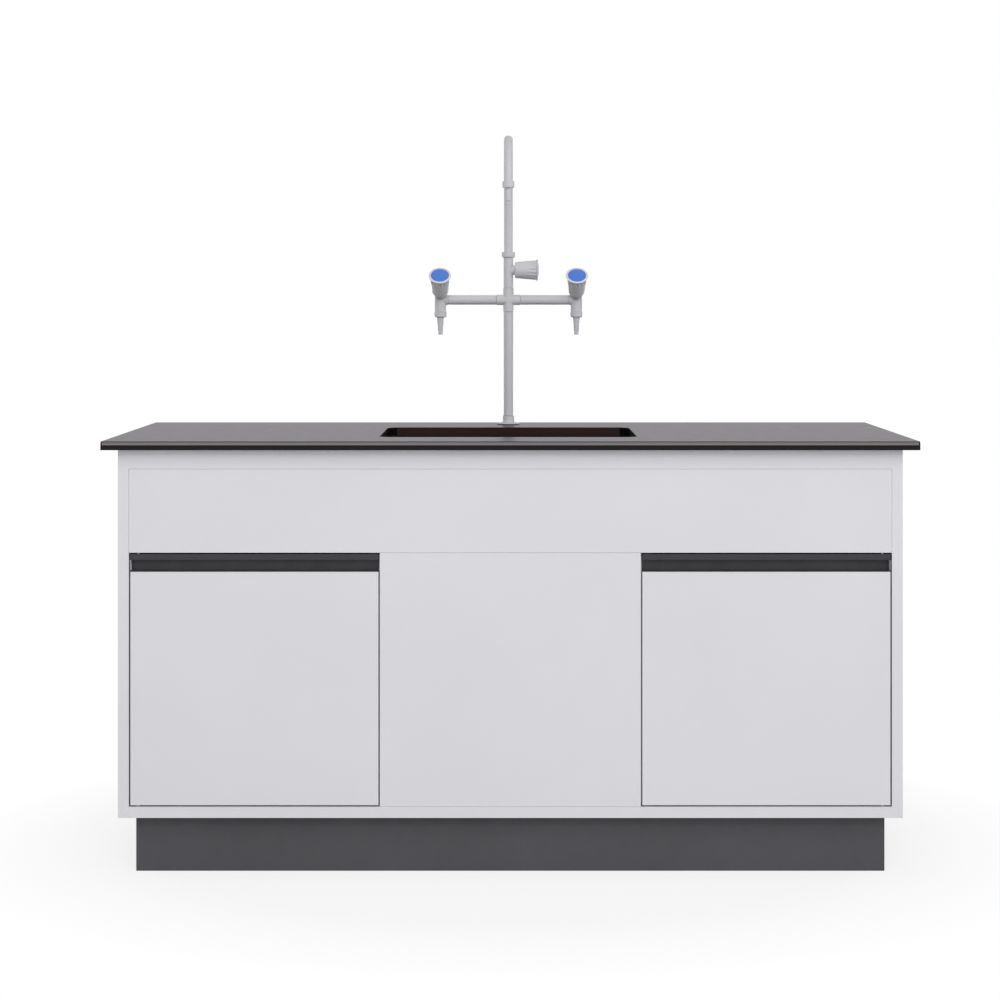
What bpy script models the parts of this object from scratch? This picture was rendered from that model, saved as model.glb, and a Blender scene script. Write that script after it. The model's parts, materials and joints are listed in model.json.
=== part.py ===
"""Laboratory sink bench: a steel cabinet with two doors, a worktop over a sink, and a triple tap.

Lengths are in metres and +Z is up. The front faces -Y, and the origin is on the floor under the middle of
the worktop.
"""

import math

import bmesh
import bpy
from mathutils import Matrix, Vector

# Driving dimensions: fits
GAP = 0.0003  # air between pieces that touch
SLACK = 0.0020  # air round a pipe or shank that passes through a hole

# Driving dimensions: bench and sheet
BENCH_LENGTH = 1.500
BENCH_DEPTH = 0.750
BENCH_HEIGHT = 0.800
SHEET = 0.0012  # steel of the cabinet
DOOR_SHEET = 0.0010  # steel of the doors
BEND = 0.0008  # outer radius of a fold

# Driving dimensions: worktop
WORKTOP_THICKNESS = 0.016
WORKTOP_EDGE = 0.0045  # radius along the top edge
WORKTOP_OVERHANG = 0.028

# Driving dimensions: plinth and levelling feet
PLINTH_HEIGHT = 0.106
PLINTH_FRONT_RECESS = 0.040
PLINTH_SIDE_RECESS = 0.028
PLINTH_BACK_RECESS = 0.028
PLINTH_BOARD = 0.016
FOOT_INSET = 0.045  # from the inside of the plinth boards to a foot's axis
FOOT_PAD_RADIUS = 0.025
FOOT_PAD_HEIGHT = 0.008
FOOT_PAD_EDGE = 0.004  # height of the pad's rim
FOOT_NECK_RADIUS = 0.009
FOOT_NECK_HEIGHT = 0.020
FOOT_STEM_RADIUS = 0.005
FOOT_BOSS_WALL = 0.006
FOOT_BOSS_LENGTH = 0.028

# Driving dimensions: front frame, back panel and mullions
FRAME_DEPTH = 0.020
STILE_WIDTH = 0.020
TOP_RAIL_HEIGHT = 0.036
BOTTOM_RAIL_HEIGHT = 0.0205
SIDE_FLANGE = 0.020
BACK_FLANGE = 0.015
MULLION_WIDTH = 0.040
MULLION_DEPTH = 0.025

# Driving dimensions: fascia, centre panel and doors
FASCIA_HEIGHT = 0.1536
CENTRE_PANEL_WIDTH = 0.480
PANEL_JOINT = 0.0004  # hairline round a fixed panel
CENTRE_JOINT = 0.0006  # between the centre panel and the fascia
DOOR_GAP = 0.0027
HANDLE_HEIGHT = 0.0325
HANDLE_WALL = 0.0016
LIP_HEIGHT = 0.0109
LIP_THICKNESS = 0.0020
HANDLE_SETBACK = 0.0012  # of the handle's lower flange behind the door's face

# Driving dimensions: door pivots and catches
PIVOT_FROM_EDGE = 0.014
PIVOT_FROM_FRONT = 0.008
PIN_RADIUS = 0.0025
PIN_HEAD_RADIUS = 0.0042
PIN_HEAD = 0.0015
PIN_REACH = 0.010
BUSH_WALL = 0.0014
BUSH_RIM = 0.0018
BUSH_RIM_THICKNESS = 0.0012
CATCH_WIDTH = 0.014
CATCH_DEPTH = 0.030
CATCH_HEIGHT = 0.046
CATCH_BELOW_FASCIA = 0.080

# Driving dimensions: sink, waste and trap
SERVICE_X = -0.004  # the sink and the tap stand a little left of the middle
SINK_WIDTH = 0.489
SINK_LENGTH = 0.376
SINK_FROM_FRONT = 0.154
SINK_CORNER = 0.030
SINK_LEDGE = 0.002  # of the worktop over the bowl
SINK_DEPTH = 0.300
SINK_DRAFT = 0.008
SINK_FALL = 0.006
SINK_FLOOR_RADIUS = 0.024
SINK_WALL = 0.005
SINK_RIM = 0.022
SINK_RIM_THICKNESS = 0.008
RAIL_SHEET = 0.003
RAIL_HEIGHT = 0.030
WASTE_RADIUS = 0.020
WASTE_WALL = 0.0025
WASTE_LENGTH = 0.055
WASTE_RIM_RADIUS = 0.034
WASTE_RIM_THICKNESS = 0.0035
STRAINER_RADIUS = 0.028
STRAINER_THICKNESS = 0.0022
STRAINER_HOLE = 0.0028
STRAINER_HOLES = 6
STRAINER_STEM_RADIUS = 0.0030
STRAINER_STEM_HEIGHT = 0.010
STRAINER_KNOB_RADIUS = 0.0060
STRAINER_KNOB_HEIGHT = 0.009
STRAINER_KNOB_EDGE = 0.003
TRAP_NUT_RADIUS = 0.031
TRAP_NUT_HEIGHT = 0.020
TRAP_NECK_WALL = 0.004
TRAP_NECK_LENGTH = 0.075
TRAP_CUP_RADIUS = 0.036
TRAP_CUP_HEIGHT = 0.105
TRAP_WALL = 0.003
PIPE_RADIUS = 0.020
PIPE_DROP = 0.024  # from the top of the cup to the pipe's axis

# Driving dimensions: tap, with heights along its own axis
TAP_FROM_BACK = 0.085
TAP_FLANGE_RADIUS = 0.024
TAP_FLANGE_THICKNESS = 0.0050
TAP_FLANGE_EDGE = 0.0022
TAP_COLLAR_RADIUS = 0.0118
TAP_COLLAR_TOP = 0.018
TAP_SHANK_RADIUS = 0.0095
TAP_SHANK_LENGTH = 0.030
TAP_BORE_RADIUS = 0.005
LOCKNUT_FLAT = 0.0150  # axis to flat
LOCKNUT_HEIGHT = 0.009
TUBE_RADIUS = 0.010
TUBE_WALL = 0.002
SPIGOT_LENGTH = 0.009
CROSS_HEIGHT = 0.259
CROSS_REACH = 0.025
CROSS_RADIUS = 0.0108
ARM_REACH = 0.1415
VALVE_RADIUS = 0.0118
VALVE_CROWN = 0.011
VALVE_CROWN_EDGE = 0.0055  # of the slope from the crown to the body, along and across the axis
VALVE_DROP = 0.025
VALVE_BOSS_REACH = 0.0155
BONNET_RADIUS = 0.0092
SPINDLE_RADIUS = 0.004
UPPER_VALVE_RISE = 0.062
UPPER_BONNET_REACH = 0.0127
SWIVEL_RISE = 0.026
SWIVEL_NUT_RADIUS = 0.0139
SWIVEL_NUT_HEIGHT = 0.0116
SWIVEL_LAP = 0.005  # of the nut over the upper valve
SWIVEL_CHAMFER = 0.002
SPOUT_RADIUS = 0.009
SPOUT_WALL = 0.0015
SPOUT_RISE = 0.1575
SPOUT_REACH = 0.165
SPOUT_DROP = 0.0060
SPOUT_COLLAR_RADIUS = 0.012
SPOUT_COLLAR_HEIGHT = 0.0135
SPOUT_SOCKET = 0.008
SPOUT_NOZZLE_RADIUS = 0.00465
SPOUT_NOZZLE_LENGTH = 0.0345
SPOUT_BORE = 0.0022
HOSE_COLLAR_RADIUS = 0.0127
HOSE_COLLAR_HEIGHT = 0.011
HOSE_SPIGOT_RADIUS = 0.006
HOSE_TAIL_LENGTH = 0.036
HOSE_ROOT_RADIUS = 0.0070
HOSE_TIP_RADIUS = 0.0045
HOSE_BARBS = 5
HOSE_BARB_DEPTH = 0.0009
HOSE_BARB_SHOULDER = 0.0011  # height of a barb's upper face
HOSE_BORE = 0.0022

# Driving dimensions: knobs
KNOB_TILT = math.radians(45)
KNOB_START = 0.024
KNOB_LENGTH = 0.047
KNOB_SMALL_RADIUS = 0.0165
KNOB_LARGE_RADIUS = 0.0218
KNOB_RIM_RADIUS = 0.0230
KNOB_RIM_HEIGHT = 0.008
KNOB_RIM_EDGE = 0.0016
KNOB_HEEL = 0.004  # rounding at the small end
KNOB_BORE_DEPTH = 0.024
KNOB_FLUTES = 10
KNOB_FLUTE_DEPTH = 0.0014
KNOB_FLUTE_LENGTH = 0.020
CAP_RADIUS = 0.019
CAP_THICKNESS = 0.0020
CAP_DOME = 0.0010
CAP_CROWN_RADIUS = 0.0115  # of the flat on top of the dome

# Fineness of round shapes
FINE = 16
COARSE = 12
NUT_POINTS = 24  # a multiple of six
FLUTE_POINTS = 3
CORNER_STEPS = 4
BEND_STEPS = 12
FOLD_STEPS = 2
EDGE_STEPS = 3
ROUND = 0.5  # profile of a bevel that follows a circle
ARC_MIDDLE = 1 - math.sqrt(0.5)  # how far in the middle of a quarter circle lies, for a radius of one
MERGE = 1e-6
SMOOTH_ANGLE = math.radians(35)

# Places that follow from the driving dimensions
UNDERSIDE = BENCH_HEIGHT - WORKTOP_THICKNESS
CABINET_TOP = UNDERSIDE - GAP
CABINET_SIDE = BENCH_LENGTH / 2 - WORKTOP_OVERHANG
CABINET_FRONT = -BENCH_DEPTH / 2 + WORKTOP_OVERHANG
CABINET_BACK = BENCH_DEPTH / 2 - WORKTOP_OVERHANG
FRONT_BACK = CABINET_FRONT + FRAME_DEPTH
INSIDE_FRONT = FRONT_BACK + GAP
OPENING_SIDE = CABINET_SIDE - STILE_WIDTH
OPENING_BOTTOM = PLINTH_HEIGHT + BOTTOM_RAIL_HEIGHT
OPENING_TOP = UNDERSIDE - TOP_RAIL_HEIGHT
FASCIA_TOP = OPENING_TOP - PANEL_JOINT
FASCIA_BOTTOM = FASCIA_TOP - FASCIA_HEIGHT
DOOR_BOTTOM = OPENING_BOTTOM + DOOR_GAP
HANDLE_TOP = FASCIA_BOTTOM - DOOR_GAP
DOOR_TOP = HANDLE_TOP - HANDLE_HEIGHT
DOOR_HINGE_EDGE = OPENING_SIDE - DOOR_GAP
DOOR_FREE_EDGE = CENTRE_PANEL_WIDTH / 2 + DOOR_GAP
PIVOT_X = DOOR_HINGE_EDGE - PIVOT_FROM_EDGE
PIVOT_Y = CABINET_FRONT + PIVOT_FROM_FRONT
MULLION_X = CENTRE_PANEL_WIDTH / 2 + DOOR_GAP / 2
MULLION_BACK = INSIDE_FRONT + MULLION_DEPTH
FLOOR_SIDE = CABINET_SIDE - SHEET - GAP
FLOOR_FRONT = INSIDE_FRONT + SHEET + GAP
FLOOR_BACK = CABINET_BACK - SHEET - GAP
FLOOR_BOTTOM = PLINTH_HEIGHT + SHEET + GAP
FLOOR_SKIN = OPENING_BOTTOM - SHEET
BACK_PANEL_FRONT = FLOOR_BACK - BACK_FLANGE
PLINTH_TOP = FLOOR_SKIN - GAP
PLINTH_SIDE = CABINET_SIDE - PLINTH_SIDE_RECESS
PLINTH_FRONT = CABINET_FRONT + PLINTH_FRONT_RECESS
PLINTH_BACK = CABINET_BACK - PLINTH_BACK_RECESS
FOOT_X = PLINTH_SIDE - PLINTH_BOARD - FOOT_INSET
FOOT_FRONT_Y = PLINTH_FRONT + PLINTH_BOARD + FOOT_INSET
FOOT_BACK_Y = PLINTH_BACK - PLINTH_BOARD - FOOT_INSET
SINK_FRONT = -BENCH_DEPTH / 2 + SINK_FROM_FRONT
SINK_Y = SINK_FRONT + SINK_LENGTH / 2
SINK_FLOOR = UNDERSIDE - SINK_DEPTH
DRAIN_FLOOR = SINK_FLOOR - SINK_FALL
DRAIN_UNDERSIDE = DRAIN_FLOOR - SINK_WALL
WASTE_RIM_TOP = DRAIN_FLOOR + GAP + WASTE_RIM_THICKNESS
TRAP_TOP = DRAIN_UNDERSIDE - GAP
TRAP_CUP_TOP = TRAP_TOP - TRAP_NUT_HEIGHT - TRAP_NECK_LENGTH
PIPE_Z = TRAP_CUP_TOP - PIPE_DROP
PIPE_BORE = PIPE_RADIUS - TRAP_WALL
TAP_Y = BENCH_DEPTH / 2 - TAP_FROM_BACK
TUBE_BORE = TUBE_RADIUS - TUBE_WALL
SPIGOT_RADIUS = TUBE_BORE - GAP
CROSS_Z = BENCH_HEIGHT + CROSS_HEIGHT
UPPER_VALVE_Z = CROSS_Z + UPPER_VALVE_RISE
SWIVEL_Z = UPPER_VALVE_Z + SWIVEL_RISE
SPOUT_FOOT = SWIVEL_Z + SWIVEL_LAP + GAP
SPOUT_BEND_Z = SWIVEL_Z + SPOUT_RISE
SPOUT_BEND_RADIUS = SPOUT_REACH / 2
SPOUT_COLLAR_TOP = SPOUT_BEND_Z - SPOUT_DROP
SPOUT_END = SPOUT_COLLAR_TOP - SPOUT_SOCKET + GAP

SIDES = (("left", -1), ("right", 1))

# Colour, roughness and metallic value of each finish
FINISHES = {
    "light_powder_coat": ((0.68, 0.67, 0.71), 0.45, 0.0),
    "dark_plinth_laminate": ((0.072, 0.070, 0.077), 0.55, 0.0),
    "dark_handle_coat": ((0.060, 0.057, 0.066), 0.40, 0.0),
    "dark_worktop": ((0.035, 0.034, 0.037), 0.35, 0.0),
    "black_polypropylene": ((0.017, 0.014, 0.014), 0.50, 0.0),
    "grey_tap_coat": ((0.52, 0.51, 0.55), 0.35, 0.0),
    "grey_knob_plastic": ((0.50, 0.50, 0.53), 0.40, 0.0),
    "blue_cap_plastic": ((0.060, 0.190, 0.650), 0.35, 0.0),
    "zinc_plated_steel": ((0.55, 0.55, 0.57), 0.35, 1.0),
    "stainless_steel": ((0.60, 0.60, 0.61), 0.30, 1.0),
    "white_nylon": ((0.80, 0.80, 0.78), 0.50, 0.0),
    "black_rubber": ((0.020, 0.020, 0.021), 0.80, 0.0),
    "grey_waste_plastic": ((0.30, 0.30, 0.31), 0.45, 0.0),
}


def remove_objects():
    """Start from an empty scene."""
    for item in list(bpy.data.objects):
        bpy.data.objects.remove(item, do_unlink=True)


def finish_material(name):
    """Give the material of a finish, made at its first use."""
    material = bpy.data.materials.get(name)
    if material is None:
        colour, roughness, metallic = FINISHES[name]
        material = bpy.data.materials.new(name)
        material.use_nodes = True
        shader = material.node_tree.nodes["Principled BSDF"]
        shader.inputs["Base Color"].default_value = (*colour, 1.0)
        shader.inputs["Roughness"].default_value = roughness
        shader.inputs["Metallic"].default_value = metallic
        material.diffuse_color = (*colour, 1.0)
    return material


def add_axis(name, place, turn=(0.0, 0.0, 0.0)):
    """Add an empty on a joint's axis."""
    axis = bpy.data.objects.new(name, None)
    axis.location = place
    axis.rotation_euler = turn
    bpy.context.scene.collection.objects.link(axis)
    return axis


def add_object(name, bm, finish, axis=None, local=False):
    """Turn a finished mesh into a named object, carried by an axis where it moves."""
    bmesh.ops.recalc_face_normals(bm, faces=bm.faces[:])
    if axis and not local:
        bmesh.ops.translate(bm, vec=-axis.location, verts=bm.verts[:])
    mesh = bpy.data.meshes.new(name)
    bm.to_mesh(mesh)
    bm.free()
    mesh.shade_smooth()
    mesh.set_sharp_from_angle(angle=SMOOTH_ANGLE)
    mesh.materials.append(finish_material(finish))
    return add_copy(name, mesh, axis)


def add_copy(name, mesh, axis=None):
    """Add an object that shows a mesh."""
    item = bpy.data.objects.new(name, mesh)
    item.parent = axis
    bpy.context.scene.collection.objects.link(item)
    return item


def boolean(target, operation, bm):
    """Join a helper shape to the target, or cut it out."""
    name = f"{target.name}_helper_{len(target.modifiers) + 1}"
    helper = add_object(name, bm, "white_nylon")
    helper.hide_render = True
    helper.display_type = "WIRE"
    step = target.modifiers.new(name, "BOOLEAN")
    step.operation = operation
    step.solver = "EXACT"
    step.object = helper


def skin(loops, closed=False):
    """Join neighbouring loops of points with faces; a loop of one point closes an end."""
    bm = bmesh.new()
    rows = [[bm.verts.new(point) for point in loop] for loop in loops]
    pairs = list(zip(rows, rows[1:]))
    if closed:
        pairs.append((rows[-1], rows[0]))
    for first, second in pairs:
        count = max(len(first), len(second))
        for here in range(count):
            there = (here + 1) % count
            corners = (
                first[here % len(first)],
                first[there % len(first)],
                second[there % len(second)],
                second[here % len(second)],
            )
            bm.faces.new(dict.fromkeys(corners))
    if not closed:
        for row in (rows[0], rows[-1]):
            if len(row) > 1:
                bm.faces.new(row)
    return bm


def turned(profile, segments, place=(0.0, 0.0, 0.0), turn=None, ring=False):
    """Turn a profile of (radius, height) points about Z; a ring's profile is a closed loop."""
    bm = bmesh.new()
    verts = [bm.verts.new((radius, 0.0, height)) for radius, height in profile]
    edges = [bm.edges.new(pair) for pair in zip(verts, verts[1:])]
    if ring:
        edges.append(bm.edges.new((verts[-1], verts[0])))
    bmesh.ops.spin(
        bm,
        geom=verts + edges,
        cent=(0.0, 0.0, 0.0),
        axis=(0.0, 0.0, 1.0),
        angle=math.tau,
        steps=segments,
        use_merge=True,
    )
    bmesh.ops.remove_doubles(bm, verts=bm.verts[:], dist=MERGE)
    matrix = Matrix.Translation(place)
    if turn is not None:
        matrix = matrix @ turn
    bmesh.ops.transform(bm, matrix=matrix, verts=bm.verts[:])
    return bm


def rod(radius, low, high, segments, place=(0.0, 0.0, 0.0), turn=None):
    """Turn a plain cylinder from one height to another."""
    profile = ((0.0, low), (radius, low), (radius, high), (0.0, high))
    return turned(profile, segments, place, turn)


def sleeve(bore, radius, low, high, segments, place=(0.0, 0.0, 0.0), turn=None):
    """Turn a plain tube from one height to another."""
    profile = ((bore, low), (radius, low), (radius, high), (bore, high))
    return turned(profile, segments, place, turn, ring=True)


def box(low, high):
    """Make a block between two corners."""
    bm = bmesh.new()
    low = Vector(low)
    size = Vector(high) - low
    matrix = Matrix.Translation(low + size / 2) @ Matrix.Diagonal((*size, 1.0))
    bmesh.ops.create_cube(bm, size=1.0, matrix=matrix)
    bm.normal_update()
    return bm


def face_towards(bm, direction):
    """Find the face that looks most along a direction."""
    return max(bm.faces, key=lambda face: face.normal.dot(Vector(direction)))


def pan(low, high, wall, mouth):
    """Fold a tray out of sheet: a block with the side that the mouth direction names left open."""
    bm = box(low, high)
    direction = Vector(mouth)
    opening = face_towards(bm, direction)
    folds = list(face_towards(bm, -direction).edges)
    bmesh.ops.bevel(bm, geom=folds, offset=BEND, segments=FOLD_STEPS, profile=ROUND, affect="EDGES")
    bmesh.ops.inset_region(bm, faces=[opening], thickness=wall, use_even_offset=True)
    floor = bmesh.ops.extrude_discrete_faces(bm, faces=[opening])["faces"][0]
    size = Vector(high) - Vector(low)
    depth = abs(size.dot(direction)) - wall
    bmesh.ops.translate(bm, vec=-direction * depth, verts=floor.verts[:])
    return bm


def rectangle(side, low, high, y, inset=0.0):
    """Give the corners of an upright rectangle about the middle plane, at one depth."""
    across = side - inset
    bottom = low + inset
    top = high - inset
    return [(-across, y, bottom), (across, y, bottom), (across, y, top), (-across, y, top)]


def rounded_rectangle(width, length, radius, centre, height):
    """Give a flat rectangle with round corners, counter-clockwise from its right side."""
    points = []
    half_x = width / 2 - radius
    half_y = length / 2 - radius
    for corner, (sign_x, sign_y) in enumerate(((1, 1), (-1, 1), (-1, -1), (1, -1))):
        for step in range(CORNER_STEPS + 1):
            angle = math.pi / 2 * (corner + step / CORNER_STEPS)
            x = centre[0] + sign_x * half_x + radius * math.cos(angle)
            y = centre[1] + sign_y * half_y + radius * math.sin(angle)
            points.append((x, y, height))
    return points


def build_plinth():
    """Four boards round the foot of the cabinet, up to the underside of its floor."""
    inner_side = PLINTH_SIDE - PLINTH_BOARD
    boards = {
        "plinth_front": ((-PLINTH_SIDE, PLINTH_FRONT), (PLINTH_SIDE, PLINTH_FRONT + PLINTH_BOARD)),
        "plinth_back": ((-PLINTH_SIDE, PLINTH_BACK - PLINTH_BOARD), (PLINTH_SIDE, PLINTH_BACK)),
    }
    front = PLINTH_FRONT + PLINTH_BOARD + GAP
    back = PLINTH_BACK - PLINTH_BOARD - GAP
    boards["plinth_left"] = ((-PLINTH_SIDE, front), (-inner_side, back))
    boards["plinth_right"] = ((inner_side, front), (PLINTH_SIDE, back))
    for name, (low, high) in boards.items():
        add_object(name, box((*low, 0.0), (*high, PLINTH_TOP)), "dark_plinth_laminate")


def foot_places():
    """Name the four corners and give each foot's axis."""
    for depth_name, y in (("front", FOOT_FRONT_Y), ("back", FOOT_BACK_Y)):
        for side_name, sign in SIDES:
            yield f"{depth_name}_{side_name}", (sign * FOOT_X, y, 0.0)


def build_feet():
    """A pad, neck and threaded stem in each corner; each stem turns in a boss of the floor."""
    profile = (
        (0.0, 0.0),
        (FOOT_PAD_RADIUS, 0.0),
        (FOOT_PAD_RADIUS, FOOT_PAD_EDGE),
        (FOOT_NECK_RADIUS, FOOT_PAD_HEIGHT),
        (FOOT_NECK_RADIUS, FOOT_PAD_HEIGHT + FOOT_NECK_HEIGHT),
        (FOOT_STEM_RADIUS, FOOT_PAD_HEIGHT + FOOT_NECK_HEIGHT),
        (FOOT_STEM_RADIUS, FLOOR_SKIN - GAP),
        (0.0, FLOOR_SKIN - GAP),
    )
    for corner, place in foot_places():
        axis = add_axis(f"foot_{corner}_axis", place)
        add_object(f"levelling_foot_{corner}", turned(profile, COARSE), "black_rubber", axis, local=True)


def build_carcass():
    """Welded front frame, two side panels, floor with foot bosses, and back panel."""
    outer = (CABINET_SIDE, PLINTH_HEIGHT, CABINET_TOP)
    inner = (OPENING_SIDE, OPENING_BOTTOM, OPENING_TOP)
    web = CABINET_FRONT + SHEET
    rings = (
        rectangle(*outer, CABINET_FRONT, BEND),
        rectangle(*outer, CABINET_FRONT + BEND),
        rectangle(*outer, FRONT_BACK),
        rectangle(*outer, FRONT_BACK, SHEET),
        rectangle(*outer, web, SHEET),
        rectangle(*inner, web, -SHEET),
        rectangle(*inner, FRONT_BACK, -SHEET),
        rectangle(*inner, FRONT_BACK),
        rectangle(*inner, CABINET_FRONT + BEND),
        rectangle(*inner, CABINET_FRONT, -BEND),
    )
    frame = add_object("front_frame", skin(rings, closed=True), "light_powder_coat")
    for _, sign in SIDES:
        hole = rod(PIN_RADIUS + GAP, -SHEET * 2, SHEET, COARSE, (sign * PIVOT_X, PIVOT_Y, OPENING_BOTTOM))
        boolean(frame, "DIFFERENCE", hole)

    for name, sign in SIDES:
        edges = sorted((sign * CABINET_SIDE, sign * (CABINET_SIDE - SIDE_FLANGE)))
        low = (edges[0], INSIDE_FRONT, PLINTH_HEIGHT)
        high = (edges[1], CABINET_BACK, CABINET_TOP)
        add_object(f"side_panel_{name}", pan(low, high, SHEET, (-sign, 0, 0)), "light_powder_coat")

    low = (-FLOOR_SIDE, FLOOR_FRONT, FLOOR_BOTTOM)
    high = (FLOOR_SIDE, FLOOR_BACK, OPENING_BOTTOM)
    floor = add_object("bottom_panel", pan(low, high, SHEET, (0, 0, -1)), "light_powder_coat")
    boss_top = FLOOR_SKIN + SHEET / 2
    boss_bore = FOOT_STEM_RADIUS + GAP
    for _, (x, y, _) in foot_places():
        boss = sleeve(boss_bore, boss_bore + FOOT_BOSS_WALL, -FOOT_BOSS_LENGTH, 0.0, COARSE, (x, y, boss_top))
        boolean(floor, "UNION", boss)

    low = (-FLOOR_SIDE, BACK_PANEL_FRONT, OPENING_BOTTOM + GAP)
    high = (FLOOR_SIDE, FLOOR_BACK, CABINET_TOP - SHEET - GAP)
    back = add_object("back_panel", pan(low, high, SHEET, (0, -1, 0)), "light_powder_coat")
    along_y = Matrix.Rotation(-math.pi / 2, 4, "X")
    place = (SERVICE_X, FLOOR_BACK, PIPE_Z)
    boolean(back, "DIFFERENCE", rod(PIPE_RADIUS + SLACK, -BACK_FLANGE, BACK_FLANGE, FINE, place, along_y))


def build_inner_frame():
    """Mullions behind the fronts, and rails that carry the sink's rim and the worktop."""
    for name, sign in SIDES:
        middle = sign * MULLION_X
        low = (middle - MULLION_WIDTH / 2, INSIDE_FRONT, OPENING_BOTTOM + GAP)
        high = (middle + MULLION_WIDTH / 2, MULLION_BACK, CABINET_TOP)
        add_object(f"mullion_{name}", pan(low, high, SHEET, (0, 1, 0)), "light_powder_coat")

    ledge_top = CABINET_TOP - SINK_RIM_THICKNESS - GAP
    bowl_side = SINK_WIDTH / 2 + SINK_LEDGE + SINK_WALL + SLACK
    rim_side = SINK_WIDTH / 2 + SINK_LEDGE + SINK_RIM + SLACK
    outline = (
        (bowl_side, ledge_top - RAIL_SHEET),
        (rim_side, ledge_top - RAIL_SHEET),
        (rim_side, CABINET_TOP - RAIL_HEIGHT),
        (rim_side + RAIL_SHEET, CABINET_TOP - RAIL_HEIGHT),
        (rim_side + RAIL_SHEET, CABINET_TOP),
        (rim_side, CABINET_TOP),
        (rim_side, ledge_top),
        (bowl_side, ledge_top),
    )
    for name, sign in SIDES:
        ends = []
        for y in (MULLION_BACK + GAP, BACK_PANEL_FRONT - GAP):
            ends.append([(SERVICE_X + sign * x, y, z) for x, z in outline])
        add_object(f"sink_rail_{name}", skin(ends), "light_powder_coat")


def build_fixed_fronts():
    """Full-width fascia and the fixed centre panel, both folded trays open to the back."""
    side = OPENING_SIDE - PANEL_JOINT
    low = (-side, CABINET_FRONT, FASCIA_BOTTOM)
    high = (side, FRONT_BACK, FASCIA_TOP)
    fascia = add_object("fascia_panel", pan(low, high, SHEET, (0, 1, 0)), "light_powder_coat")
    hole_radius = PIN_RADIUS + GAP + BUSH_WALL + GAP
    for _, sign in SIDES:
        place = (sign * PIVOT_X, PIVOT_Y, FASCIA_BOTTOM)
        boolean(fascia, "DIFFERENCE", rod(hole_radius, -SHEET, SHEET * 2, COARSE, place))

    low = (-CENTRE_PANEL_WIDTH / 2, CABINET_FRONT, OPENING_BOTTOM + PANEL_JOINT)
    high = (CENTRE_PANEL_WIDTH / 2, FRONT_BACK, FASCIA_BOTTOM - CENTRE_JOINT)
    add_object("centre_panel", pan(low, high, SHEET, (0, 1, 0)), "light_powder_coat")


def pivot_bush(sheet):
    """Sleeve through a sheet whose lower face is at height zero, with a rim on top of the sheet."""
    bore = PIN_RADIUS + GAP
    outside = bore + BUSH_WALL
    rim_low = sheet + GAP
    profile = (
        (bore, 0.0),
        (outside, 0.0),
        (outside, rim_low),
        (outside + BUSH_RIM, rim_low),
        (outside + BUSH_RIM, rim_low + BUSH_RIM_THICKNESS),
        (outside, rim_low + BUSH_RIM_THICKNESS),
        (outside, PIN_REACH),
        (bore, PIN_REACH),
    )
    return profile


def build_door(name, sign):
    """Outer tray, inner liner, handle profile, pivots and catch of one door."""
    axis = add_axis(f"door_{name}_axis", (sign * PIVOT_X, PIVOT_Y, DOOR_BOTTOM))
    left, right = sorted((sign * DOOR_HINGE_EDGE, sign * DOOR_FREE_EDGE))

    low = (left, CABINET_FRONT, DOOR_BOTTOM)
    high = (right, FRONT_BACK, DOOR_TOP)
    tray = add_object(f"door_{name}", pan(low, high, DOOR_SHEET, (0, 1, 0)), "light_powder_coat", axis)
    hole_radius = PIN_RADIUS + GAP + BUSH_WALL + GAP
    place = (sign * PIVOT_X, PIVOT_Y, DOOR_BOTTOM)
    boolean(tray, "DIFFERENCE", rod(hole_radius, -DOOR_SHEET, DOOR_SHEET * 2, COARSE, place))

    edge = DOOR_SHEET + GAP
    low = (left + edge, FRONT_BACK - DOOR_SHEET, DOOR_BOTTOM + edge)
    high = (right - edge, FRONT_BACK, DOOR_TOP - edge)
    add_object(f"door_liner_{name}", box(low, high), "light_powder_coat", axis)

    handle_foot = DOOR_TOP + GAP
    outline = (
        (CABINET_FRONT, HANDLE_TOP - LIP_HEIGHT),
        (CABINET_FRONT + LIP_THICKNESS, HANDLE_TOP - LIP_HEIGHT),
        (CABINET_FRONT + LIP_THICKNESS, HANDLE_TOP - HANDLE_WALL),
        (FRONT_BACK - HANDLE_WALL, HANDLE_TOP - HANDLE_WALL),
        (FRONT_BACK - HANDLE_WALL, handle_foot + HANDLE_WALL),
        (CABINET_FRONT + HANDLE_SETBACK, handle_foot + HANDLE_WALL),
        (CABINET_FRONT + HANDLE_SETBACK, handle_foot),
        (FRONT_BACK, handle_foot),
        (FRONT_BACK, HANDLE_TOP),
        (CABINET_FRONT + BEND, HANDLE_TOP),
        (CABINET_FRONT, HANDLE_TOP - BEND),
    )
    ends = [[(x, y, z) for y, z in outline] for x in (left, right)]
    handle = add_object(f"door_handle_{name}", skin(ends), "dark_handle_coat", axis)
    place = (sign * PIVOT_X, PIVOT_Y, HANDLE_TOP)
    boolean(handle, "DIFFERENCE", rod(PIN_RADIUS + GAP, -HANDLE_WALL * 2, HANDLE_WALL, COARSE, place))

    build_pivots(name, sign, axis)
    wall = sign * (MULLION_X + MULLION_WIDTH / 2 + GAP)
    near, far = sorted((wall, wall + sign * CATCH_WIDTH))
    top = FASCIA_BOTTOM - CATCH_BELOW_FASCIA
    block = box((near, INSIDE_FRONT, top - CATCH_HEIGHT), (far, INSIDE_FRONT + CATCH_DEPTH, top))
    add_object(f"door_catch_{name}", block, "white_nylon")


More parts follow.
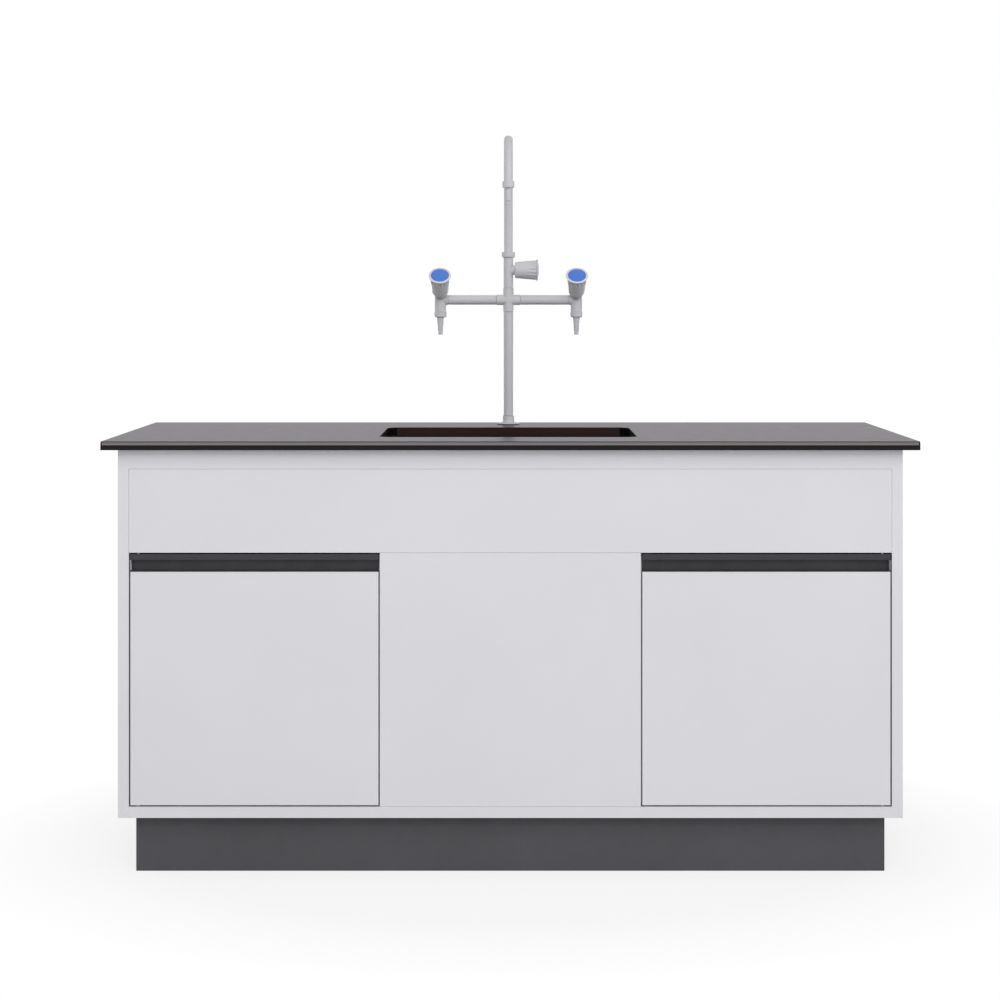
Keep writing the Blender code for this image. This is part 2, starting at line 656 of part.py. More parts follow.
def build_pivots(name, sign, axis):
    """Upper pin on the door in a bush of the fascia; lower pin on the frame in a bush of the door."""
    head_low = HANDLE_TOP - HANDLE_WALL - GAP - PIN_HEAD
    upper_pin = (
        (0.0, head_low),
        (PIN_HEAD_RADIUS, head_low),
        (PIN_HEAD_RADIUS, head_low + PIN_HEAD),
        (PIN_RADIUS, head_low + PIN_HEAD),
        (PIN_RADIUS, FASCIA_BOTTOM + PIN_REACH),
        (0.0, FASCIA_BOTTOM + PIN_REACH),
    )
    lower_pin = (
        (0.0, OPENING_BOTTOM - PIN_REACH),
        (PIN_RADIUS, OPENING_BOTTOM - PIN_REACH),
        (PIN_RADIUS, OPENING_BOTTOM + GAP),
        (PIN_HEAD_RADIUS, OPENING_BOTTOM + GAP),
        (PIN_HEAD_RADIUS, DOOR_BOTTOM - GAP),
        (PIN_RADIUS, DOOR_BOTTOM - GAP),
        (PIN_RADIUS, DOOR_BOTTOM + PIN_REACH),
        (0.0, DOOR_BOTTOM + PIN_REACH),
    )
    foot = (sign * PIVOT_X, PIVOT_Y, 0.0)
    at_fascia = (sign * PIVOT_X, PIVOT_Y, FASCIA_BOTTOM)
    at_door = (sign * PIVOT_X, PIVOT_Y, DOOR_BOTTOM)
    upper_bush = turned(pivot_bush(SHEET), COARSE, at_fascia, ring=True)
    lower_bush = turned(pivot_bush(DOOR_SHEET), COARSE, at_door, ring=True)
    add_object(f"pivot_pin_top_{name}", turned(upper_pin, COARSE, foot), "zinc_plated_steel", axis)
    add_object(f"pivot_pin_bottom_{name}", turned(lower_pin, COARSE, foot), "zinc_plated_steel")
    add_object(f"pivot_bush_top_{name}", upper_bush, "white_nylon")
    add_object(f"pivot_bush_bottom_{name}", lower_bush, "white_nylon", axis)


def build_worktop():
    """Slab with a rounded top edge, cut for the sink and for the tap's shank."""
    half_x = BENCH_LENGTH / 2
    half_y = BENCH_DEPTH / 2
    slab = box((-half_x, -half_y, UNDERSIDE), (half_x, half_y, BENCH_HEIGHT))
    rim = list(face_towards(slab, (0, 0, 1)).edges)
    bmesh.ops.bevel(
        slab, geom=rim, offset=WORKTOP_EDGE, segments=EDGE_STEPS, profile=ROUND, affect="EDGES"
    )
    worktop = add_object("worktop", slab, "dark_worktop")
    ends = []
    for height in (UNDERSIDE - WORKTOP_THICKNESS, BENCH_HEIGHT + WORKTOP_THICKNESS):
        ends.append(rounded_rectangle(SINK_WIDTH, SINK_LENGTH, SINK_CORNER, (SERVICE_X, SINK_Y), height))
    boolean(worktop, "DIFFERENCE", skin(ends))
    hole = rod(
        TAP_SHANK_RADIUS + SLACK,
        -WORKTOP_THICKNESS,
        WORKTOP_THICKNESS * 2,
        FINE,
        (SERVICE_X, TAP_Y, UNDERSIDE),
    )
    boolean(worktop, "DIFFERENCE", hole)


def bowl_loop(grow, height, narrowing=0.0):
    """Outline of the bowl at one height, grown from the worktop's cut-out."""
    spread = 2 * (SINK_LEDGE + grow - narrowing)
    radius = SINK_CORNER + SINK_LEDGE + grow - narrowing
    return rounded_rectangle(SINK_WIDTH + spread, SINK_LENGTH + spread, radius, (SERVICE_X, SINK_Y), height)


def drain_loop(radius, height):
    """Ring round the drain with as many points as an outline of the bowl."""
    points = []
    for corner in range(4):
        for step in range(CORNER_STEPS + 1):
            angle = math.pi / 2 * (corner + (step + 0.5) / (CORNER_STEPS + 1))
            points.append((SERVICE_X + radius * math.cos(angle), SINK_Y + radius * math.sin(angle), height))
    return points


def build_sink():
    """Moulded bowl with a rim under the worktop, drafted walls and a floor that falls to the drain."""
    rim_low = CABINET_TOP - SINK_RIM_THICKNESS
    turn = SINK_FLOOR_RADIUS * ARC_MIDDLE
    outer_floor = SINK_FLOOR - SINK_WALL
    drain = WASTE_RADIUS + GAP
    loops = (
        bowl_loop(0.0, CABINET_TOP),
        bowl_loop(0.0, SINK_FLOOR + SINK_FLOOR_RADIUS, SINK_DRAFT),
        bowl_loop(0.0, SINK_FLOOR + turn, SINK_DRAFT + turn),
        bowl_loop(0.0, SINK_FLOOR, SINK_DRAFT + SINK_FLOOR_RADIUS),
        drain_loop(WASTE_RIM_RADIUS, DRAIN_FLOOR),
        drain_loop(drain, DRAIN_FLOOR),
        drain_loop(drain, DRAIN_UNDERSIDE),
        drain_loop(WASTE_RIM_RADIUS, DRAIN_UNDERSIDE),
        bowl_loop(0.0, outer_floor, SINK_DRAFT + SINK_FLOOR_RADIUS),
        bowl_loop(SINK_WALL, outer_floor + turn + SINK_WALL, SINK_DRAFT + turn),
        bowl_loop(SINK_WALL, SINK_FLOOR + SINK_FLOOR_RADIUS, SINK_DRAFT),
        bowl_loop(SINK_WALL, rim_low),
        bowl_loop(SINK_RIM, rim_low),
        bowl_loop(SINK_RIM, CABINET_TOP),
    )
    add_object("sink_bowl", skin(loops, closed=True), "black_polypropylene")


def build_waste():
    """Waste fitting through the drain, lift-out strainer, and bottle trap with its outlet pipe."""
    place = (SERVICE_X, SINK_Y, 0.0)
    seat = WASTE_RIM_TOP - STRAINER_THICKNESS
    bore = WASTE_RADIUS - WASTE_WALL
    rim_low = DRAIN_FLOOR + GAP
    fitting = (
        (bore, rim_low - WASTE_LENGTH),
        (WASTE_RADIUS, rim_low - WASTE_LENGTH),
        (WASTE_RADIUS, rim_low),
        (WASTE_RIM_RADIUS, rim_low),
        (STRAINER_RADIUS + GAP, WASTE_RIM_TOP),
        (STRAINER_RADIUS + GAP, seat - GAP),
        (bore, seat - GAP),
    )
    waste = turned(fitting, FINE, place, ring=True)
    add_object("waste_fitting", waste, "stainless_steel")

    knob_low = WASTE_RIM_TOP + STRAINER_STEM_HEIGHT
    knob_top = knob_low + STRAINER_KNOB_HEIGHT
    strainer_profile = (
        (0.0, seat),
        (STRAINER_RADIUS, seat),
        (STRAINER_RADIUS, WASTE_RIM_TOP),
        (STRAINER_STEM_RADIUS, WASTE_RIM_TOP),
        (STRAINER_STEM_RADIUS, knob_low),
        (STRAINER_KNOB_RADIUS, knob_low + STRAINER_KNOB_EDGE),
        (STRAINER_KNOB_RADIUS, knob_top - STRAINER_KNOB_EDGE),
        (STRAINER_KNOB_RADIUS - STRAINER_KNOB_EDGE, knob_top),
        (0.0, knob_top),
    )
    axis = add_axis("strainer_axis", place)
    strainer = add_object(
        "sink_strainer", turned(strainer_profile, FINE), "stainless_steel", axis, local=True
    )
    circle = (STRAINER_STEM_RADIUS + bore) / 2
    for number in range(STRAINER_HOLES):
        angle = math.tau * (number + 0.5) / STRAINER_HOLES
        spot = (SERVICE_X + circle * math.cos(angle), SINK_Y + circle * math.sin(angle), seat)
        hole = rod(STRAINER_HOLE, -STRAINER_THICKNESS, STRAINER_THICKNESS * 2, COARSE, spot)
        boolean(strainer, "DIFFERENCE", hole)
    build_trap(place)


def build_trap(place):
    """Nut and neck round the waste, a cup below, and a pipe from the cup to behind the back panel."""
    bore = WASTE_RADIUS + GAP
    neck = bore + TRAP_NECK_WALL
    nut_low = TRAP_TOP - TRAP_NUT_HEIGHT
    cup_low = TRAP_CUP_TOP - TRAP_CUP_HEIGHT
    inside = TRAP_CUP_RADIUS - TRAP_WALL
    profile = (
        (0.0, cup_low),
        (TRAP_CUP_RADIUS - TRAP_WALL, cup_low),
        (TRAP_CUP_RADIUS, cup_low + TRAP_WALL),
        (TRAP_CUP_RADIUS, TRAP_CUP_TOP),
        (neck, TRAP_CUP_TOP + TRAP_WALL),
        (neck, nut_low),
        (TRAP_NUT_RADIUS, nut_low),
        (TRAP_NUT_RADIUS, TRAP_TOP),
        (bore, TRAP_TOP),
        (bore, TRAP_CUP_TOP),
        (inside, TRAP_CUP_TOP - TRAP_WALL),
        (inside, cup_low + TRAP_WALL),
        (0.0, cup_low + TRAP_WALL),
    )
    trap = add_object("bottle_trap", turned(profile, FINE, place), "grey_waste_plastic")
    along_y = Matrix.Rotation(-math.pi / 2, 4, "X")
    start = (SERVICE_X, SINK_Y, PIPE_Z)
    reach = CABINET_BACK - SINK_Y
    wall_middle = TRAP_CUP_RADIUS - TRAP_WALL / 2
    boolean(trap, "UNION", rod(PIPE_RADIUS, wall_middle, reach, COARSE, start, along_y))
    boolean(trap, "DIFFERENCE", rod(PIPE_BORE, wall_middle / 2, reach + TRAP_WALL, COARSE, start, along_y))


def build_tap_stand():
    """Base through the worktop with its locknut, column, cross piece, and the two arms."""
    place = (SERVICE_X, TAP_Y, 0.0)
    flange_low = BENCH_HEIGHT + GAP
    collar_top = BENCH_HEIGHT + TAP_COLLAR_TOP
    base = (
        (TAP_BORE_RADIUS, UNDERSIDE - TAP_SHANK_LENGTH),
        (TAP_SHANK_RADIUS, UNDERSIDE - TAP_SHANK_LENGTH),
        (TAP_SHANK_RADIUS, flange_low),
        (TAP_FLANGE_RADIUS, flange_low),
        (TAP_FLANGE_RADIUS, flange_low + TAP_FLANGE_EDGE),
        (TAP_COLLAR_RADIUS, BENCH_HEIGHT + TAP_FLANGE_THICKNESS),
        (TAP_COLLAR_RADIUS, collar_top - BEND),
        (TAP_COLLAR_RADIUS - BEND, collar_top),
        (SPIGOT_RADIUS, collar_top),
        (SPIGOT_RADIUS, collar_top + SPIGOT_LENGTH),
        (TAP_BORE_RADIUS, collar_top + SPIGOT_LENGTH),
    )
    add_object("tap_base", turned(base, FINE, place, ring=True), "grey_tap_coat")

    bottom = CROSS_Z - CROSS_REACH
    column = sleeve(TUBE_BORE, TUBE_RADIUS, collar_top + GAP, bottom - GAP, FINE, place)
    add_object("tap_column", column, "grey_tap_coat")

    rings = []
    for height in (UNDERSIDE - GAP - LOCKNUT_HEIGHT, UNDERSIDE - GAP):
        rings.append([hexagon_point(number, LOCKNUT_FLAT, place, height) for number in range(NUT_POINTS)])
    bore = TAP_SHANK_RADIUS + GAP
    for height in (UNDERSIDE - GAP, UNDERSIDE - GAP - LOCKNUT_HEIGHT):
        rings.append([circle_point(number, bore, place, height) for number in range(NUT_POINTS)])
    add_object("tap_locknut", skin(rings, closed=True), "zinc_plated_steel")

    spigot_end = CROSS_REACH + SPIGOT_LENGTH
    stem = (
        (0.0, -spigot_end),
        (SPIGOT_RADIUS, -spigot_end),
        (SPIGOT_RADIUS, -CROSS_REACH),
        (CROSS_RADIUS - BEND, -CROSS_REACH),
        (CROSS_RADIUS, -CROSS_REACH + BEND),
        (CROSS_RADIUS, CROSS_REACH - BEND),
        (CROSS_RADIUS - BEND, CROSS_REACH),
        (SPIGOT_RADIUS, CROSS_REACH),
        (SPIGOT_RADIUS, spigot_end),
        (0.0, spigot_end),
    )
    middle = (SERVICE_X, TAP_Y, CROSS_Z)
    along_x = Matrix.Rotation(math.pi / 2, 4, "Y")
    cross = add_object("tap_cross", turned(stem, FINE, middle), "grey_tap_coat")
    boolean(cross, "UNION", turned(stem, FINE, middle, along_x))

    for name, sign in SIDES:
        outward = Matrix.Rotation(sign * math.pi / 2, 4, "Y")
        end = ARM_REACH - VALVE_BOSS_REACH - GAP
        arm = sleeve(TUBE_BORE, TUBE_RADIUS, CROSS_REACH + GAP, end, FINE, middle, outward)
        add_object(f"tap_arm_{name}", arm, "grey_tap_coat")


def circle_point(number, radius, place, height):
    """Point of a nut's bore about a vertical axis."""
    angle = math.tau * number / NUT_POINTS
    return (place[0] + radius * math.cos(angle), place[1] + radius * math.sin(angle), height)


def hexagon_point(number, flat, place, height):
    """Point of a nut's hexagon about a vertical axis, in step with its bore."""
    sixth = math.tau / 6
    angle = math.tau * number / NUT_POINTS
    return circle_point(number, flat / math.cos((angle + sixth / 2) % sixth - sixth / 2), place, height)


def build_side_valve(name, sign):
    """Valve body at the end of an arm, with its bonnet and spindle, and the hose nozzle below it."""
    middle = (SERVICE_X + sign * ARM_REACH, TAP_Y, CROSS_Z)
    body = (
        (0.0, -VALVE_DROP),
        (VALVE_RADIUS, -VALVE_DROP),
        (VALVE_RADIUS, VALVE_CROWN - VALVE_CROWN_EDGE),
        (VALVE_RADIUS - VALVE_CROWN_EDGE, VALVE_CROWN),
        (0.0, VALVE_CROWN),
    )
    valve = add_object(f"valve_{name}", turned(body, FINE, middle), "grey_tap_coat")
    boss = (
        (0.0, 0.0),
        (CROSS_RADIUS, 0.0),
        (CROSS_RADIUS, VALVE_BOSS_REACH),
        (SPIGOT_RADIUS, VALVE_BOSS_REACH),
        (SPIGOT_RADIUS, VALVE_BOSS_REACH + SPIGOT_LENGTH),
        (0.0, VALVE_BOSS_REACH + SPIGOT_LENGTH),
    )
    boolean(valve, "UNION", turned(boss, FINE, middle, Matrix.Rotation(-sign * math.pi / 2, 4, "Y")))
    tilt = Matrix.Rotation(KNOB_TILT, 4, "X")
    boolean(valve, "UNION", turned(bonnet(KNOB_START - GAP), FINE, middle, tilt))
    socket_depth = SPIGOT_LENGTH + GAP
    foot = (middle[0], middle[1], CROSS_Z - VALVE_DROP)
    boolean(valve, "DIFFERENCE", rod(HOSE_SPIGOT_RADIUS + GAP, -SPIGOT_LENGTH, socket_depth, COARSE, foot))
    nozzle = turned(hose_nozzle(), FINE, (foot[0], foot[1], foot[2] - GAP), ring=True)
    add_object(f"hose_nozzle_{name}", nozzle, "grey_tap_coat")
    add_knob(name, middle, (KNOB_TILT, 0.0, 0.0), KNOB_START)


def bonnet(reach):
    """Profile of a bonnet with its spindle, along the knob's axis."""
    end = reach + KNOB_BORE_DEPTH
    return (
        (0.0, 0.0),
        (BONNET_RADIUS, 0.0),
        (BONNET_RADIUS, reach),
        (SPINDLE_RADIUS, reach),
        (SPINDLE_RADIUS, end),
        (0.0, end),
    )


def hose_nozzle():
    """Profile of a collar with a barbed tail below it; its top face is at height zero."""
    profile = [
        (HOSE_BORE, SPIGOT_LENGTH),
        (HOSE_SPIGOT_RADIUS, SPIGOT_LENGTH),
        (HOSE_SPIGOT_RADIUS, 0.0),
        (HOSE_COLLAR_RADIUS - BEND, 0.0),
        (HOSE_COLLAR_RADIUS, -BEND),
        (HOSE_COLLAR_RADIUS, BEND - HOSE_COLLAR_HEIGHT),
        (HOSE_COLLAR_RADIUS - BEND, -HOSE_COLLAR_HEIGHT),
    ]
    pitch = HOSE_TAIL_LENGTH / HOSE_BARBS
    taper = (HOSE_ROOT_RADIUS - HOSE_TIP_RADIUS) / HOSE_BARBS
    for number in range(HOSE_BARBS):
        top = -HOSE_COLLAR_HEIGHT - number * pitch
        radius = HOSE_ROOT_RADIUS - number * taper
        profile.append((radius - HOSE_BARB_DEPTH, top))
        profile.append((radius, top - HOSE_BARB_SHOULDER))
    profile.append((HOSE_TIP_RADIUS, -HOSE_COLLAR_HEIGHT - HOSE_TAIL_LENGTH))
    profile.append((HOSE_BORE, -HOSE_COLLAR_HEIGHT - HOSE_TAIL_LENGTH))
    return profile


def build_upper_valve():
    """Upper valve body on the cross, its knob to the right, and the nut that holds the spout."""
    low = CROSS_REACH + GAP
    high = UPPER_VALVE_RISE + SWIVEL_RISE + SWIVEL_LAP
    middle = (SERVICE_X, TAP_Y, CROSS_Z)
    valve = add_object("valve_top", rod(TUBE_RADIUS, low, high, FINE, middle), "grey_tap_coat")
    knob_axis = (SERVICE_X, TAP_Y, UPPER_VALVE_Z)
    along_x = Matrix.Rotation(math.pi / 2, 4, "Y")
    boolean(valve, "UNION", turned(bonnet(UPPER_BONNET_REACH), FINE, knob_axis, along_x))
    socket_end = CROSS_REACH + SPIGOT_LENGTH + GAP
    boolean(valve, "DIFFERENCE", rod(TUBE_BORE, 0.0, socket_end, FINE, middle))
    add_knob("top", knob_axis, (0.0, math.pi / 2, 0.0), UPPER_BONNET_REACH + GAP)

    lap_bore = TUBE_RADIUS + GAP
    spout_bore = SPOUT_RADIUS + GAP
    step = SWIVEL_LAP + GAP
    nut = (
        (lap_bore, 0.0),
        (SWIVEL_NUT_RADIUS - SWIVEL_CHAMFER, 0.0),
        (SWIVEL_NUT_RADIUS, SWIVEL_CHAMFER),
        (SWIVEL_NUT_RADIUS, SWIVEL_NUT_HEIGHT - BEND),
        (SWIVEL_NUT_RADIUS - BEND, SWIVEL_NUT_HEIGHT),
        (spout_bore, SWIVEL_NUT_HEIGHT),
        (spout_bore, step),
        (lap_bore, step),
    )
    place = (SERVICE_X, TAP_Y, SWIVEL_Z)
    add_object("swivel_nut", turned(nut, FINE, place, ring=True), "grey_tap_coat")


def spout_path():
    """Points and directions of the spout's centre line: up, over towards the front, and down."""
    up = Vector((0.0, 0.0, 1.0))
    path = [(Vector((SERVICE_X, TAP_Y, SPOUT_FOOT)), up)]
    centre = Vector((SERVICE_X, TAP_Y - SPOUT_BEND_RADIUS, SPOUT_BEND_Z))
    for step in range(BEND_STEPS + 1):
        angle = math.pi * step / BEND_STEPS
        outward = Vector((0.0, math.cos(angle), math.sin(angle)))
        direction = Vector((0.0, -math.sin(angle), math.cos(angle)))
        path.append((centre + SPOUT_BEND_RADIUS * outward, direction))
    path.append((Vector((SERVICE_X, TAP_Y - SPOUT_REACH, SPOUT_END)), -up))
    return path


def tube_loops(path, radius):
    """Rings of one radius along a path in the plane across X."""
    across = Vector((1.0, 0.0, 0.0))
    loops = []
    for point, direction in path:
        normal = direction.cross(across)
        loop = []
        for number in range(FINE):
            angle = math.tau * number / FINE
            loop.append(point + radius * (math.cos(angle) * across + math.sin(angle) * normal))
        loops.append(loop)
    return loops


def build_spout():
    """Gooseneck tube that turns in the swivel nut, with a collar and a thin nozzle at its end."""
    axis = add_axis("spout_axis", (SERVICE_X, TAP_Y, SWIVEL_Z))
    path = spout_path()
    outside = tube_loops(path, SPOUT_RADIUS)
    inside = tube_loops(path, SPOUT_RADIUS - SPOUT_WALL)
    add_object("gooseneck", skin(outside + inside[::-1], closed=True), "grey_tap_coat", axis)

    socket_bore = SPOUT_RADIUS + GAP
    collar_low = -SPOUT_COLLAR_HEIGHT
    tip = collar_low - SPOUT_NOZZLE_LENGTH
    profile = (
        (socket_bore, 0.0),
        (SPOUT_COLLAR_RADIUS - BEND, 0.0),
        (SPOUT_COLLAR_RADIUS, -BEND),
        (SPOUT_COLLAR_RADIUS, collar_low + BEND),
        (SPOUT_COLLAR_RADIUS - BEND, collar_low),
        (SPOUT_NOZZLE_RADIUS, collar_low),
        (SPOUT_NOZZLE_RADIUS, tip + BEND),
        (SPOUT_NOZZLE_RADIUS - BEND, tip),
        (SPOUT_BORE, tip),
        (SPOUT_BORE, -SPOUT_SOCKET),
        (socket_bore, -SPOUT_SOCKET),
    )
    place = (SERVICE_X, TAP_Y - SPOUT_REACH, SPOUT_COLLAR_TOP)
    add_object("spout_nozzle", turned(profile, FINE, place, ring=True), "grey_tap_coat", axis)


def knob_loops():
    """Rings of a knob along its axis from its small end; the flutes run up to the rim."""
    bore = SPINDLE_RADIUS + GAP
    rim_low = KNOB_LENGTH - KNOB_RIM_HEIGHT
    flute_low = rim_low - KNOB_FLUTE_LENGTH
    slope = (KNOB_LARGE_RADIUS - KNOB_SMALL_RADIUS) / (rim_low - KNOB_HEEL)
    flute_radius = KNOB_SMALL_RADIUS + slope * (flute_low - KNOB_HEEL)
    recess = CAP_RADIUS + GAP
    recess_low = KNOB_LENGTH - CAP_THICKNESS - GAP
    profile = (
        (bore, KNOB_BORE_DEPTH, 0.0),
        (bore, 0.0, 0.0),
        (KNOB_SMALL_RADIUS - KNOB_HEEL, 0.0, 0.0),
        (KNOB_SMALL_RADIUS - KNOB_HEEL * ARC_MIDDLE, KNOB_HEEL * ARC_MIDDLE, 0.0),
        (KNOB_SMALL_RADIUS, KNOB_HEEL, 0.0),
        (flute_radius, flute_low, 0.0),
        (flute_radius + slope * KNOB_HEEL, flute_low + KNOB_HEEL, KNOB_FLUTE_DEPTH),
        (KNOB_LARGE_RADIUS, rim_low, KNOB_FLUTE_DEPTH),
        (KNOB_RIM_RADIUS, rim_low + BEND, 0.0),
        (KNOB_RIM_RADIUS, KNOB_LENGTH - KNOB_RIM_EDGE, 0.0),
        (KNOB_RIM_RADIUS - KNOB_RIM_EDGE, KNOB_LENGTH, 0.0),
        (recess, KNOB_LENGTH, 0.0),
        (recess, recess_low, 0.0),
    )
    count = KNOB_FLUTES * FLUTE_POINTS
    loops = [[(0.0, 0.0, KNOB_BORE_DEPTH)]]
    for radius, height, flute in profile:
        loop = []
        for number in range(count):
            angle = math.tau * number / count
            dip = flute * (0.5 + 0.5 * math.cos(KNOB_FLUTES * angle))
            loop.append(((radius - dip) * math.cos(angle), (radius - dip) * math.sin(angle), height))
        loops.append(loop)
    loops.append([(0.0, 0.0, recess_low)])
    return loops


def add_knob(name, place, turn, start):
    """Knob and its coloured cap on a valve's spindle; the knob's small end is at the start distance."""
    axis = add_axis(f"knob_{name}_axis", place, turn)
    lift = Matrix.Translation((0.0, 0.0, start))
    knob = skin(knob_loops())
    bmesh.ops.transform(knob, matrix=lift, verts=knob.verts[:])
    add_object(f"knob_{name}", knob, "grey_knob_plastic", axis, local=True)
    low = start + KNOB_LENGTH - CAP_THICKNESS
    high = start + KNOB_LENGTH
    cap = (
        (0.0, low),
        (CAP_RADIUS, low),
        (CAP_RADIUS, high),
        (CAP_CROWN_RADIUS, high + CAP_DOME),
        (0.0, high + CAP_DOME),
    )
    add_object(f"knob_cap_{name}", turned(cap, FINE), "blue_cap_plastic", axis, local=True)


def main():
    """Build every piece of the bench."""
    remove_objects()
    build_plinth()
    build_feet()
    build_carcass()
    build_inner_frame()
    build_fixed_fronts()
    for name, sign in SIDES:
        build_door(name, sign)
    build_worktop()
    build_sink()
    build_waste()
    build_tap_stand()
    for name, sign in SIDES:
        build_side_valve(name, sign)
    build_upper_valve()
    build_spout()


main()
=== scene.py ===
"""Looks of a laboratory sink bench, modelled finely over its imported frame.

Lengths are in metres, in the frame's own axes: the front faces -Y and +Z is up.
"""

import json
import math

import bmesh
import bpy
from mathutils import Matrix, Vector


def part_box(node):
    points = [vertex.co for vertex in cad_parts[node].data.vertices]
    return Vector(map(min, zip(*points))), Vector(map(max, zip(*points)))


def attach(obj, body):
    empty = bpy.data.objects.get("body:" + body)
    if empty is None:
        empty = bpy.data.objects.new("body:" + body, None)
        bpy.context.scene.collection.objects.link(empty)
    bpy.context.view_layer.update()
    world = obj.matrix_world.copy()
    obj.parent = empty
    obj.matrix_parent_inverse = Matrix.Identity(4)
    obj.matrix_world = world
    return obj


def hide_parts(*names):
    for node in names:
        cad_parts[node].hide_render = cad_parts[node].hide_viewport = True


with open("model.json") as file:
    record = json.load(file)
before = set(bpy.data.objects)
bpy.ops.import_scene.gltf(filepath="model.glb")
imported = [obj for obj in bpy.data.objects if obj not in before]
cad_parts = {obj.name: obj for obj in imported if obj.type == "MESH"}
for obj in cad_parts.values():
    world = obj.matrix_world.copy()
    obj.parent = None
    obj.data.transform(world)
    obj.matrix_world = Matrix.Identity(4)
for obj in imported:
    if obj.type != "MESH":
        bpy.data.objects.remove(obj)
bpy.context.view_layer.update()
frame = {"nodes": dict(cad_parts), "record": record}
BODY = {node: body for body, nodes in frame["record"]["behaviour"]["bodies"].items() for node in nodes}
SLOT = {row["node"]: row["material_slot"] for row in frame["record"]["subparts"]}
SIDES = (("left", -1), ("right", 1))
ALONG_X = Matrix.Rotation(math.pi / 2, 4, "Y")
ALONG_Y = Matrix.Rotation(-math.pi / 2, 4, "X")

# Fineness of round shapes
ROUND = 64
SMALL_ROUND = 32
ARC_STEPS = 5
CORNER_STEPS = 8
BEND_STEPS = 48
BEVEL_STEPS = 3
SHARP = math.radians(32)  # an edge with a larger turn stays sharp
MERGE = 1e-6
TINY = 0.0002  # least radius of a corner
SUPPORT = 0.006  # from a fold to the flat behind it
PAST = 0.010  # how far a cutter runs past a face

# Cabinet
SHEET = 0.0012
DOOR_SHEET = 0.0010
FOLD = 0.0010  # outer radius of a fold
FINE_FOLD = 0.0004  # of a fold beside a hairline joint
PANEL_JOINT = 0.0004  # between a fixed panel's solid and the frame
CLOSER = 0.00012  # how much closer a fixed panel's skin comes to its neighbours
PIVOT_HOLE = 0.0045
PIN_HOLE = 0.0028
SHEET_CUT = 0.005  # how far the cutter of such a hole runs to both sides of a sheet
PRESS_DEPTH = 0.0035  # of the field pressed into a door's liner
PRESS_MARGIN = 0.040
PRESS_SLOPE = 0.006
PRESS_ROUND = 0.0025
PRESS_CORNER = 0.012
HANDLE_WALL = 0.0016
HANDLE_LIP = 0.0020
HANDLE_LIP_HEIGHT = 0.0109
HANDLE_EDGE = 0.0007
HANDLE_ROUND = 0.0040  # between the top and the web
RECESS_END = 0.0006  # sheet that closes the outer end of a handle's recess
CATCH_EDGE = 0.0012
BOARD_EDGE = 0.0006
SCREW_RADIUS = 0.0040
SCREW_HEIGHT = 0.0022
SCREW_SLOT = 0.0010
SCREW_CROSS = 0.6  # share of the head's radius that its slots reach
SCREW_INSET = 0.007
SCREW_COLUMNS = 5
SCREW_ROWS = 3
CLEARANCE = 0.0003  # between pieces that fit into each other
PIN = 0.0025
PIN_HEAD = 0.0042
PIN_HEAD_HEIGHT = 0.0015
PIN_COLLAR = 0.0024  # from the collar's underside to the door
PIN_COLLAR_HEIGHT = 0.0021
PIN_EDGE = 0.0003
BUSH_BORE = 0.0028
BUSH = 0.0042
BUSH_RIM = 0.0012
FOOT_EDGE = 0.0010
FOOT_RIM = 0.005  # height of a pad's rim
FOOT_RIM_ROUND = 0.0020
FOOT_NECK = 0.009
FOOT_NECK_LOW = 0.009  # heights of the neck's ends over the floor
FOOT_NECK_HIGH = 0.028
FOOT_NECK_ROUND = 0.0030
FOOT_STEM = 0.005

# Worktop and sink
WORKTOP_ARRIS = 0.0068  # rounding of the front edge
WORKTOP_EASE = 0.0006  # of the other long edges
WORKTOP_END = 0.0005  # round the ends
HIGHLIGHT_BAND_DROP = 0.0015  # from the top to the band of painted highlight on the front edge
HIGHLIGHT_BAND_END = 0.0026  # from an end of the worktop to the band of painted highlight
CUT_EASE = 0.0010  # along the sink's cut-out
CORE_SKIN = 0.0002  # of the brown core that shows in the cut-out
BACK_WALL = 0.95  # least share of the front in the direction of a face of the cut-out's back wall; the other faces of the cut-out get painted shade
GROOVE_INSET = 0.010  # drip groove under the worktop
GROOVE_WIDTH = 0.003
GROOVE_DEPTH = 0.002
SINK_CORNER = 0.030
SINK_LEDGE = 0.002
SINK_RIM = 0.022
SINK_RIM_THICKNESS = 0.008
SINK_WALL = 0.005
SINK_DRAFT = 0.008
SINK_FLOOR_ROUND = 0.024
SINK_FALL = 0.006
FALL_STEPS = 6
SINK_LIP = 0.0010  # rounding of the rim
DRAIN_RADIUS = 0.0203
WASTE_BORE = 0.0175
WASTE_TUBE = 0.020
WASTE_RIM = 0.034
WASTE_RIM_HEIGHT = 0.0035
STRAINER_HOLES = 6
STRAINER_HOLE = 0.0028
STRAINER_STEM = 0.003
STRAINER_PLATE = 0.0022
STRAINER_KNOB = 0.006
STRAINER_KNOB_HEIGHT = 0.009
TRAP_NUT_RADIUS = 0.031
TRAP_NUT_HEIGHT = 0.020
TRAP_NUT_RIBS = 20
TRAP_NUT_RIB = 0.0010
TRAP_NECK_RADIUS = 0.0243
TRAP_CUP_HEIGHT = 0.105
TRAP_CUP_ROUND = 0.008
TRAP_WALL = 0.003
TRAP_SEAM = 0.040  # height of the groove round the cup
TRAP_GROOVE = 0.0010
PIPE_RADIUS = 0.020
PIPE_DROP = 0.024
PIPE_SLACK = 0.002  # round the pipe in the back panel
PIPE_CUT = 0.03  # how far the cutter of the pipe's hole runs to both sides
WAVE_POINTS = 10  # in each hollow of a ribbed or fluted shape

